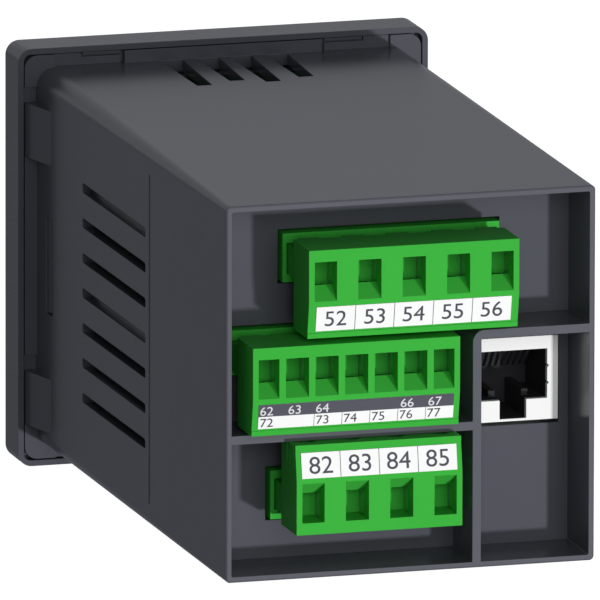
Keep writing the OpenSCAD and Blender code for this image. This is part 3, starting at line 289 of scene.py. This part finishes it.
# %% Winding
TURNS_APART_MM, WAVE_UNIT = 2.547, 2 * math.pi / 20
copper_wire, shader, place = start("enamelled copper wire, wound")
turns = add(copper_wire, "ShaderNodeTexWave", {
    "Vector": place, "Scale": WAVE_UNIT / (TURNS_APART_MM * MM), "Distortion": 0.3,
}, bands_direction="Y")
tint = add(copper_wire, "ShaderNodeMix", {
    "Factor": turns.outputs[1], "A": colour("#6b2a0d"), "B": colour("#b5581f"),
}, data_type="RGBA")
link(copper_wire, tint.outputs["Result"], shader, "Base Color")
shader.inputs["Metallic"].default_value = 0.6
shader.inputs["Roughness"].default_value = 0.32
relief(copper_wire, shader, turns.outputs[1], 0.08, 0.1)
print("winding: turns", TURNS_APART_MM, "mm apart")

# %% [markdown]
# The boards are glass-fibre laminate under a green solder mask. Copper tracks lie under the
# mask as slightly raised, paler lines. A brick pattern with wide gaps stands in for them.

# %% Circuit boards
TRACK_UNIT_MM = 9.0
board_laminate, shader, place = start("glass-fibre laminate with green solder mask")
tracks = add(board_laminate, "ShaderNodeTexBrick", {
    "Vector": place, "Scale": 1 / (TRACK_UNIT_MM * MM), "Mortar Size": 0.03, "Brick Width": 0.62,
    "Row Height": 0.2, "Color1": colour("#0f4a26"), "Color2": colour("#115229"),
    "Mortar": colour("#2c7a45"),
})
link(board_laminate, tracks.outputs["Color"], shader, "Base Color")
shader.inputs["Roughness"].default_value = 0.3
shader.inputs["Coat Weight"].default_value = 0.4
relief(board_laminate, shader, tracks.outputs["Fac"], 0.03, 0.1)
print("boards: tracks repeat every", TRACK_UNIT_MM, "mm")

# %% [markdown]
# The fascia is a printed polyester film. Its texture is a fine matt that hides fingerprints.
# The window and the light pipes are clear acrylic, and the display behind is a grey-green
# liquid crystal glass.

# %% Film, window and display
overlay_film = moulded(
    "printed polyester film, silver-grey", "#83878d", "#8a8e94", 0.4, 0.08, 0.002, 0.1)
label_film = moulded(
    "white polyester label film", "#fafaf9", "#ffffff", 0.4, 0.3, 0.001, 0.03, 0.3)
crystal_glass = moulded(
    "liquid crystal glass, grey-green", "#93a08a", "#98a68e", 0.18, 0.3, 0.0005, 0.05)

clear_acrylic, shader, place = start("clear acrylic, polished")
haze = grain(clear_acrylic, place, 1.5)
link(clear_acrylic, add(clear_acrylic, "ShaderNodeMapRange", {
    "Value": haze, "To Min": 0.02, "To Max": 0.07,
}).outputs[0], shader, "Roughness")
shader.inputs["Base Color"].default_value = colour("#f4faf8")
shader.inputs["Transmission Weight"].default_value = 1.0
shader.inputs["Alpha"].default_value = 0.12
shader.inputs["IOR"].default_value = 1.49


def ink(name, hex_colour, rough=0.45):
    """Screen-printed ink, a little uneven in its gloss."""
    material, shader, place = start(name)
    patches = grain(material, place, 0.6)
    tint = add(material, "ShaderNodeMix", {
        "Factor": patches, "A": colour(hex_colour), "B": colour(hex_colour),
    }, data_type="RGBA")
    tint.inputs["B"].default_value = [min(1.0, v * 1.12 + 0.002) for v in colour(hex_colour)]
    link(material, tint.outputs["Result"], shader, "Base Color")
    link(material, add(material, "ShaderNodeMapRange", {
        "Value": patches, "To Min": rough - 0.06, "To Max": rough + 0.06,
    }).outputs[0], shader, "Roughness")
    return material


dark_ink = ink("screen ink, slate", "#4b4b55")
slate_band = ink("screen ink, slate band", "#55555f")
white_ink = ink("screen ink, white", "#e2e2e6")
fascia_dark = ink("screen ink, graphite", "#2a2c31", 0.38)
print("materials:", len(bpy.data.materials))

# %% [markdown]
# Each solid now gets its material. The list says which finish each family of solids has,
# and every solid has to be in it.

# %% Dress the solids
FINISHES = {
    "case_shell": case_plastic, "front_bezel": bezel_plastic, "fascia_overlay": overlay_film,
    "display_window": clear_acrylic, "lcd_panel": crystal_glass,
    "lcd_backlight": white_plastic, "display_board": board_laminate,
    "board_screws": tinned_steel, "light_pipes": clear_acrylic, "status_leds": white_plastic,
    "tactile_switches": black_plastic, "upper_board": board_laminate,
    "middle_board": board_laminate, "lower_board": board_laminate,
    "link_strips": black_plastic, "board_link_pins": tinned_bronze,
    "output_relays": relay_plastic, "power_capacitors": black_plastic,
    "surge_discs": disc_coating, "transformer_core": core_steel,
    "transformer_winding": copper_wire, "processor": black_plastic,
    "data_jack": white_plastic, "jack_insert": lightened_insert_nylon, "jack_contacts": jack_wire,
}
FAMILIES = [
    ("key_", key_plastic), ("_header_pins", tinned_steel), ("_clamps", tinned_steel),
    ("_clamp_screws", tinned_steel), ("_contacts", tinned_bronze), ("_label", label_film),
    ("_header", terminal_plastic), ("_plug", terminal_plastic),
]
for name, solid in nodes.items():
    material = FINISHES.get(name)
    for word, finish in FAMILIES:
        if material is None and (name.startswith(word) or name.endswith(word)):
            material = finish
    solid.data.materials.clear()
    solid.data.materials.append(material)
print("dressed", len(nodes), "solids")

# %% [markdown]
# Each plug has a printed label on its sloped face. The prints are thin, so they are made as
# flat pieces of ink that lie on the label, a few hundredths of a millimetre thick. A label
# has its own small frame: to the right and up along the slope, seen from the terminals.
# That frame is read from the label's solid, so the ink always lies on it.

# %% Label frame
INK_MM, LABEL_MM = 0.03, 0.2


def label_frame(node, upside_down):
    """A matrix from label millimetres (right, up, out) to the object's metres."""
    low, high = [Vector(v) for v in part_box(node)]
    rise = high.z - low.z
    run = (high.y - low.y) - LABEL_MM * MM
    tilt = math.atan2(run, rise) * (-1 if upside_down else 1)
    middle = (low + high) / 2 + Vector((0, LABEL_MM * MM / 2, 0))
    to_right = Vector((-1, 0, 0))
    to_top = Vector((0, math.sin(tilt), math.cos(tilt)))
    outward = to_right.cross(to_top)
    turn = Matrix((to_right, to_top, outward)).transposed().to_4x4()
    size = ((high.x - low.x) / MM, rise / math.cos(tilt) / MM)
    return Matrix.Translation(middle) @ turn @ Matrix.Scale(MM, 4), size


def deselect():
    if bpy.context.object and bpy.context.object.mode != "OBJECT":
        bpy.ops.object.mode_set(mode="OBJECT")
    bpy.ops.object.select_all(action="DESELECT")


def settle(piece, frame_matrix, material):
    """Move a piece's mesh into place, so its object stays at the origin."""
    piece.data.transform(frame_matrix @ piece.matrix_world)
    piece.matrix_world = Matrix.Identity(4)
    piece.data.materials.clear()
    piece.data.materials.append(material)
    return piece


def thicken(depth):
    """Give the selected flat mesh its depth, with its faces outwards, and leave edit mode."""
    bpy.ops.mesh.extrude_region_move(TRANSFORM_OT_translate={"value": (0, 0, depth)})
    bpy.ops.mesh.select_all(action="SELECT")
    bpy.ops.mesh.normals_make_consistent(inside=False)
    bpy.ops.object.mode_set(mode="OBJECT")


def patch(frame_matrix, left, bottom, wide, tall, material, lift=0.0, thick=INK_MM):
    """A thin rectangle of ink, extruded from a plane, in a frame's millimetres."""
    deselect()
    bpy.ops.mesh.primitive_plane_add(size=1.0, location=(left + wide / 2, bottom + tall / 2, lift))
    piece = bpy.context.object
    piece.scale = (wide, tall, 1.0)
    bpy.ops.object.transform_apply(location=True, rotation=False, scale=True)
    bpy.ops.object.mode_set(mode="EDIT")
    bpy.ops.mesh.select_all(action="SELECT")
    thicken(thick)
    return settle(piece, frame_matrix, material)


def number(frame_matrix, text, middle_x, middle_y, height, material, lift=0.0, wide=1.0):
    """A printed number: text made a mesh, scaled to its real height, then put in place."""
    deselect()
    bpy.ops.object.text_add()
    words = bpy.context.object
    words.data.body = text
    words.data.align_x = "CENTER"
    words.data.resolution_u = 6
    bpy.ops.object.convert(target="MESH")
    piece = bpy.context.object
    tops = [v.co.y for v in piece.data.vertices]
    sides = [v.co.x for v in piece.data.vertices]
    scale = height / (max(tops) - min(tops))
    centre = Vector(((max(sides) + min(sides)) / 2, (max(tops) + min(tops)) / 2, 0))
    piece.data.transform(Matrix.Translation(-centre))
    piece.data.transform(Matrix.Diagonal((scale * wide, scale, 1, 1)))
    piece.data.transform(Matrix.Translation((middle_x, middle_y, lift + INK_MM)))
    bpy.ops.object.mode_set(mode="EDIT")
    bpy.ops.mesh.select_all(action="SELECT")
    bpy.ops.mesh.remove_doubles(threshold=0.0005)
    thicken(-INK_MM)
    return settle(piece, frame_matrix, material)


def join(pieces, name, body):
    """Join finished pieces into one object that rides on a body."""
    deselect()
    for piece in pieces:
        piece.select_set(True)
    bpy.context.view_layer.objects.active = pieces[0]
    bpy.ops.object.join()
    whole = bpy.context.object
    whole.name = name
    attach(whole, body)
    deselect()
    print(name, "faces:", len(whole.data.polygons))
    return whole


# %% [markdown]
# In each corner of the bezel, the square ledge behind the flange pokes a third of a millimetre
# out of the rounded outline. A real moulding is smooth there. A solid's mesh is never
# changed, so a copy of it is trimmed by a rounded block and takes the solid's place. The
# block is a hair wider than the bezel, so no two faces of them lie in one plane.

# %% Smooth bezel corners
OUTLINE_MM, OUTLINE_R_MM = 72.03, 2.42
bezel = bpy.data.objects.new("smooth_bezel", nodes["front_bezel"].data.copy())
bpy.context.scene.collection.objects.link(bezel)
deselect()
bpy.context.view_layer.objects.active = bezel
bezel.select_set(True)
bpy.ops.object.mode_set(mode="EDIT")
bpy.ops.mesh.select_all(action="SELECT")
bpy.ops.mesh.remove_doubles(threshold=0.002 * MM)
bpy.ops.object.mode_set(mode="OBJECT")
deselect()
bpy.ops.mesh.primitive_cube_add(size=OUTLINE_MM * MM)
block = bpy.context.object
bpy.ops.object.mode_set(mode="EDIT")
bpy.ops.mesh.select_all(action="DESELECT")
block_mesh = bmesh.from_edit_mesh(block.data)
for edge in block_mesh.edges:
    along = edge.verts[0].co - edge.verts[1].co
    edge.select_set(abs(along.y) > abs(along.x) + abs(along.z))
bmesh.update_edit_mesh(block.data)
bpy.ops.mesh.bevel(offset=OUTLINE_R_MM * MM, segments=16, affect="EDGES")
bpy.ops.object.mode_set(mode="OBJECT")
deselect()
bpy.context.view_layer.objects.active = bezel
bezel.select_set(True)
trim = bezel.modifiers.new("trim", "BOOLEAN")
trim.operation = "INTERSECT"
trim.object = block
bpy.ops.object.modifier_apply(modifier="trim")
bpy.data.objects.remove(block)
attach(bezel, "housing")
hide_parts("front_bezel")
bezel_size = [round((max(v.co[i] for v in bezel.data.vertices)
                     - min(v.co[i] for v in bezel.data.vertices)) / MM, 2) for i in range(3)]
print("smooth bezel:", bezel_size, "mm,", len(bezel.data.polygons), "faces")

# %% [markdown]
# The latch notch under the jack's mouth is lined with the black insert on the real jack. The
# solid's white shell forms the notch's floor, so a thin black plate is laid on it. It is an
# extruded plane like the prints, in a frame whose up direction points into the mouth.

# %% Notch liner
NOTCH_W_MM, NOTCH_L_MM, SHELL_FLOOR_MM, LINER_SET_MM, LINER_MM = 4.6, 12.5, 0.4, 0.3, 0.06
jack_low, jack_high = [Vector(v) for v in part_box("data_jack")]
notch_floor = Vector(((jack_low.x + jack_high.x) / 2, jack_high.y,
                      jack_low.z + SHELL_FLOOR_MM * MM))
inward = Matrix((Vector((1, 0, 0)), Vector((0, -1, 0)), Vector((0, 0, -1)))).transposed()
notch = Matrix.Translation(notch_floor) @ inward.to_4x4() @ Matrix.Scale(MM, 4)
liner = patch(notch, -NOTCH_W_MM / 2 + 0.02, LINER_SET_MM, NOTCH_W_MM - 0.04,
              NOTCH_L_MM - LINER_SET_MM, lightened_insert_nylon, lift=-LINER_MM, thick=LINER_MM)
join([liner], "notch_liner", "housing")

# %% [markdown]
# The upper and the lower label have one cell for each terminal, with a plain number in it
# and a hairline between the cells. Both are made by one function, because the printer uses
# one layout for the wide-pitch plugs.

# %% Wide-pitch labels
DIGIT_STRETCH, HAIRLINE_MM = 1.06, 0.1


def wide_label(row, numbers, digit_mm, upside_down):
    """One cell for each terminal, with its number and a hairline before it."""
    at, (wide, tall) = label_frame(row + "_label", upside_down)
    cell = wide / len(numbers)
    pieces = []
    for i, text in enumerate(numbers):
        x = -wide / 2 + (i + 0.5) * cell
        pieces.append(number(at, text, x, 0.0, digit_mm, dark_ink, wide=DIGIT_STRETCH))
        if i:
            left = x - (cell + HAIRLINE_MM) / 2
            pieces.append(patch(at, left, -tall / 2, HAIRLINE_MM, tall, dark_ink))
    join(pieces, row + "_label_print", row + "_plug_body")


wide_label("upper", ["52", "53", "54", "55", "56"], digit_mm=2.65, upside_down=False)
wide_label("lower", ["82", "83", "84", "85"], digit_mm=2.85, upside_down=True)

# %% [markdown]
# The middle label has two rows. The upper one is a slate band with white numbers, and the
# lower one is white with slate numbers. Its first cell is two terminals wide.

# %% Fine-pitch label
CELLS, SEAM_MM = 7, 0.02
FINE_DIGIT_MM, FINE_STRETCH, FINE_HAIRLINE_MM = 1.52, 1.1, 0.08
UPPER_ROW, LOWER_ROW = 0.47, -0.5  # the middle of each row, in shares of half the height
EARLY, LATE, BELOW = 0.28, 0.32, 0.3  # a number's middle, in shares of its cell
at, (wide, tall) = label_frame("middle_label", False)
cell = wide / CELLS
half = tall / 2
pieces = [patch(at, -wide / 2, SEAM_MM, wide, half - SEAM_MM, slate_band)]
for i, text in enumerate(["62", "63", "64", "", "", "66", "67"]):
    if text:
        x = -wide / 2 + (i + (EARLY if i < 3 else LATE)) * cell
        pieces.append(number(at, text, x, half * UPPER_ROW, FINE_DIGIT_MM, white_ink,
                             lift=INK_MM, wide=FINE_STRETCH))
for i, text in enumerate(["72", "", "73", "74", "75", "76", "77"]):
    x = -wide / 2 + i * cell
    if text:
        pieces.append(number(at, text, x + BELOW * cell, half * LOWER_ROW, FINE_DIGIT_MM,
                             dark_ink, wide=FINE_STRETCH))
    if i > 1:
        pieces.append(patch(at, x - FINE_HAIRLINE_MM / 2, -half, FINE_HAIRLINE_MM, half,
                            dark_ink))
join(pieces, "middle_label_print", "middle_plug_body")

# %% [markdown]
# The fascia faces away from the camera, but people look at it every day. Its film carries a
# graphite field round the display, hairlines between the groups, a plain number at each
# light and a symbol on each key. All of it is screen print, so it is ink on the film.

# %% Fascia frame
film_low, film_high = [Vector(v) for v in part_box("fascia_overlay")]
to_right, to_top, outward = Vector((1, 0, 0)), Vector((0, 0, 1)), Vector((0, -1, 0))
turn = Matrix((to_right, to_top, outward)).transposed().to_4x4()
film = Matrix.Translation((0, film_low.y, 0)) @ turn @ Matrix.Scale(MM, 4)
VIEW_W, VIEW_H, VIEW_Z = 46.0, 24.0, 15.5
FILM_W = (film_high.x - film_low.x) / MM
BORDER = 3.2
RULES_Z, RULE_INSET, RULE_MM = (-6.2, -17.6), 4.0, 0.25
LIGHTS_APART, LIGHT_NUMBER_MM = 12.0, 2.0
NUMBER_X, NUMBER_Z = 3.4, -2.4  # a light's number, right of the light
pieces = []
outer_w, outer_h = VIEW_W + 2 * BORDER, VIEW_H + 2 * BORDER
left, bottom = -outer_w / 2, VIEW_Z - outer_h / 2
pieces.append(patch(film, left, bottom, BORDER, outer_h, fascia_dark))
pieces.append(patch(film, -left - BORDER, bottom, BORDER, outer_h, fascia_dark))
pieces.append(patch(film, left + BORDER, bottom, VIEW_W, BORDER, fascia_dark))
pieces.append(patch(film, left + BORDER, VIEW_Z + VIEW_H / 2, VIEW_W, BORDER, fascia_dark))
for z in RULES_Z:
    pieces.append(patch(film, -FILM_W / 2 + RULE_INSET, z, FILM_W - 2 * RULE_INSET, RULE_MM,
                        fascia_dark))
for i, text in enumerate(["1", "2", "3"]):
    x = (i - 1) * LIGHTS_APART + NUMBER_X
    pieces.append(number(film, text, x, NUMBER_Z, LIGHT_NUMBER_MM, fascia_dark))
join(pieces, "fascia_print", "housing")

# %% [markdown]
# Every key has its own symbol, cut from a triangle or a ring. A symbol rides on its key, so
# it goes in when the key is pressed.

# %% Key symbols
def key_face(key):
    """A matrix from millimetres on a key's face to the object's metres."""
    low, high = [Vector(v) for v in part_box(key)]
    middle = Vector(((low.x + high.x) / 2, low.y, (low.z + high.z) / 2))
    return Matrix.Translation(middle) @ turn @ Matrix.Scale(MM, 4)


def disc(frame_matrix, sides, radius, angle, material, hole=0.0):
    """A flat symbol with any number of sides, solid or as a ring."""
    deselect()
    bpy.ops.mesh.primitive_circle_add(vertices=sides, radius=radius, fill_type="NGON",
                                      rotation=(0, 0, angle))
    piece = bpy.context.object
    bpy.ops.object.transform_apply(location=False, rotation=True, scale=False)
    bpy.ops.object.mode_set(mode="EDIT")
    bpy.ops.mesh.select_all(action="SELECT")
    if hole:
        bpy.ops.mesh.inset(thickness=radius - hole)
        bpy.ops.mesh.delete(type="FACE")
        bpy.ops.mesh.select_all(action="SELECT")
    thicken(INK_MM)
    return settle(piece, frame_matrix, material)


QUARTER = math.pi / 2
symbols = {
    "key_up": [disc(key_face("key_up"), 3, 1.6, 0, white_ink)],
    "key_down": [disc(key_face("key_down"), 3, 1.6, 2 * QUARTER, white_ink)],
    "key_back": [disc(key_face("key_back"), 3, 1.6, QUARTER, white_ink)],
    "key_enter": [disc(key_face("key_enter"), 24, 1.5, 0, white_ink, hole=0.95)],
    "key_test": [
        disc(key_face("key_test"), 4, 1.7, QUARTER / 2, white_ink),
        patch(key_face("key_test"), 2.6, -0.25, 3.4, 0.5, white_ink),
        patch(key_face("key_test"), -6.0, -0.25, 3.4, 0.5, white_ink),
    ],
    "key_reset": [
        disc(key_face("key_reset"), 24, 1.6, 0, white_ink, hole=1.1),
        disc(key_face("key_reset"), 24, 0.5, 0, white_ink),
    ],
}
for key, pieces in symbols.items():
    join(pieces, key + "_symbol", key + "_body")

# %% [markdown]
# The display shows two rows of seven-segment digits. A segment is a long hexagon, and a
# digit is the right choice of seven. One hexagon is modelled and its copies are turned and
# moved, as on the real glass, where all segments are one artwork.

# %% Display digits
SEGMENTS = {  # middle across and up in shares of the digit's height, and whether upright
    "a": (0.0, 0.5, False), "b": (0.25, 0.25, True), "c": (0.25, -0.25, True),
    "d": (0.0, -0.5, False), "e": (-0.25, -0.25, True), "f": (-0.25, 0.25, True),
    "g": (0.0, 0.0, False),
}
DIGITS = {"0": "abcdef", "1": "bc", "2": "abged", "3": "abgcd", "4": "fgbc", "5": "afgcd"}
DIGIT_STEP, BAR_LONG, BAR_THICK = 0.78, 0.44, 0.1  # in shares of the digit's height
glass_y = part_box("lcd_panel")[0][1]
glass = Matrix.Translation((0, glass_y, 0)) @ turn @ Matrix.Scale(MM, 4)


def segment(x, y, upright, long, thick):
    """One bar of a digit: a hexagon pulled long, with its points at the ends."""
    deselect()
    bpy.ops.mesh.primitive_circle_add(vertices=6, radius=1.0, fill_type="NGON")
    piece = bpy.context.object
    for v in piece.data.vertices:
        tip = abs(v.co.x) < 0.1
        v.co.y = math.copysign(long / 2 - (0 if tip else thick / 2), v.co.y)
        v.co.x = 0.0 if tip else math.copysign(thick / 2, v.co.x)
    if not upright:
        piece.data.transform(Matrix.Rotation(math.pi / 2, 4, "Z"))
    piece.data.transform(Matrix.Translation((x, y, INK_MM)))
    return settle(piece, glass, fascia_dark)


def shown_number(text, left, middle, height):
    """The bars of a number, from its first digit's middle rightwards."""
    pieces = []
    for i, digit in enumerate(text):
        for name in DIGITS[digit]:
            across, rise, upright = SEGMENTS[name]
            x = left + i * height * DIGIT_STEP + across * height
            pieces.append(segment(x, middle + rise * height, upright, height * BAR_LONG,
                                  height * BAR_THICK))
    return pieces


pieces = shown_number("1250", left=-15.0, middle=VIEW_Z + 4.8, height=8.5)
pieces += shown_number("0043", left=1.5, middle=VIEW_Z - 6.6, height=4.6)
join(pieces, "display_digits", "housing")

# %% [markdown]
# The relay stands on a wide matt floor. The camera, mirrors and glass should see plain white
# there, so the floor glows for their rays alone, and for all other light it is a matt grey.
# The key lamp stands lower than the floor, so the floor lets shadow rays through.

# %% Floor
FLOOR_GAP_MM, FLOOR_M, PAPER_LIFT_MM = 0.05, 6.0, 0.02
floor_z = cad_box[0][2] - FLOOR_GAP_MM * MM
deselect()
bpy.ops.mesh.primitive_plane_add(size=FLOOR_M, location=(0, 0, floor_z))
floor = bpy.context.object
floor.name = "studio_floor"
floor_paint = bpy.data.materials.new("matt white floor paint")
floor_paint.use_nodes = True
floor_paint.node_tree.nodes.clear()
matt = add(floor_paint, "ShaderNodeBsdfDiffuse", {"Color": colour("#a0a0a0")})
glow = add(floor_paint, "ShaderNodeEmission", {"Color": colour("#ffffff"), "Strength": 1.0})
rays = add(floor_paint, "ShaderNodeLightPath")
seen = add(floor_paint, "ShaderNodeMath", {
    0: rays.outputs["Is Camera Ray"], 1: rays.outputs["Is Glossy Ray"],
}, operation="MAXIMUM")
seen = add(floor_paint, "ShaderNodeMath", {
    0: seen.outputs[0], 1: rays.outputs["Is Transmission Ray"],
}, operation="MAXIMUM")
dark = add(floor_paint, "ShaderNodeEmission", {"Strength": 0.0})
lit = add(floor_paint, "ShaderNodeMixShader", {
    0: seen.outputs[0], 1: dark.outputs[0], 2: glow.outputs[0],
})
both = add(floor_paint, "ShaderNodeAddShader", {0: matt.outputs[0], 1: lit.outputs[0]})
clear = add(floor_paint, "ShaderNodeBsdfTransparent")
surface = add(floor_paint, "ShaderNodeMixShader", {
    0: rays.outputs["Is Shadow Ray"], 1: both.outputs[0], 2: clear.outputs[0],
})
add(floor_paint, "ShaderNodeOutputMaterial", {"Surface": surface.outputs[0]})
floor.data.materials.append(floor_paint)
print("floor at mm:", round(floor_z / MM, 2))

# %% [markdown]
# Dark gloss plastic mirrors whatever lies round it, so a photographer lays grey paper there
# and cuts it out of the picture. Here the paper is a second plane that only reflections see.

# %% Grey paper
deselect()
paper_z = floor_z + PAPER_LIFT_MM * MM
bpy.ops.mesh.primitive_plane_add(size=FLOOR_M, location=(0, 0, paper_z))
paper = bpy.context.object
paper.name = "studio_paper"
paper_grey, shader, _ = start("grey studio paper")
shader.inputs["Base Color"].default_value = colour("#000000")
shader.inputs["Specular IOR Level"].default_value = 0.0
shader.inputs["Emission Color"].default_value = colour("#76787f")
shader.inputs["Emission Strength"].default_value = 1.0
paper.data.materials.append(paper_grey)
paper.visible_camera = False
paper.visible_diffuse = False
paper.visible_transmission = False
paper.visible_shadow = False
print("paper at mm:", round(paper_z / MM, 2))

# %% [markdown]
# Three soft boxes light the relay: a small key lamp low down on the right, a wide weak one
# above the photographer, and one behind for the fascia. They are hidden from reflections,
# as the dulled gloss shows none of them.

# %% Lamps
AIM = Vector((0, 0.05, 0))


def soft_lamp(name, direction, distance, size, power):
    """A square soft box that looks at the relay's middle."""
    lamp_data = bpy.data.lights.new(name, "AREA")
    lamp_data.shape = "SQUARE"
    lamp_data.size = size
    lamp_data.energy = power
    lamp = bpy.data.objects.new(name, lamp_data)
    bpy.context.scene.collection.objects.link(lamp)
    towards = Vector(direction).normalized()
    lamp.location = AIM + towards * distance
    lamp.rotation_euler = towards.to_track_quat("Z", "Y").to_euler()
    lamp.visible_glossy = False
    print(name, "at m:", [round(v, 2) for v in lamp.location])


soft_lamp("low_key", (-0.325, 0.93, -0.205), distance=3.0, size=0.15, power=56.0)
soft_lamp("front_fill", (0.05, 0.95, 0.2), distance=1.8, size=1.1, power=11.0)
soft_lamp("fascia_fill", (0.0, -1.0, 0.0), distance=2.5, size=0.5, power=40.0)

# %% [markdown]
# An even pale surround fills the shadows. The gloss of the plastic shows it brighter than it
# lights, so its strength depends on whether a ray is a glossy one.

# %% Surround
AMBIENT, MIRRORED = 0.14, 0.435
world = bpy.data.worlds.new("grey surround")
world.use_nodes = True
surround = world.node_tree.nodes["Background"]
surround.inputs["Color"].default_value = colour("#eff1f9")
rays = add(world, "ShaderNodeLightPath")
level = add(world, "ShaderNodeMapRange", {
    "Value": rays.outputs["Is Glossy Ray"], "To Min": AMBIENT, "To Max": MIRRORED,
})
world.node_tree.links.new(level.outputs[0], surround.inputs["Strength"])
bpy.context.scene.world = world
print("surround:", AMBIENT, "as light,", MIRRORED, "in reflections")
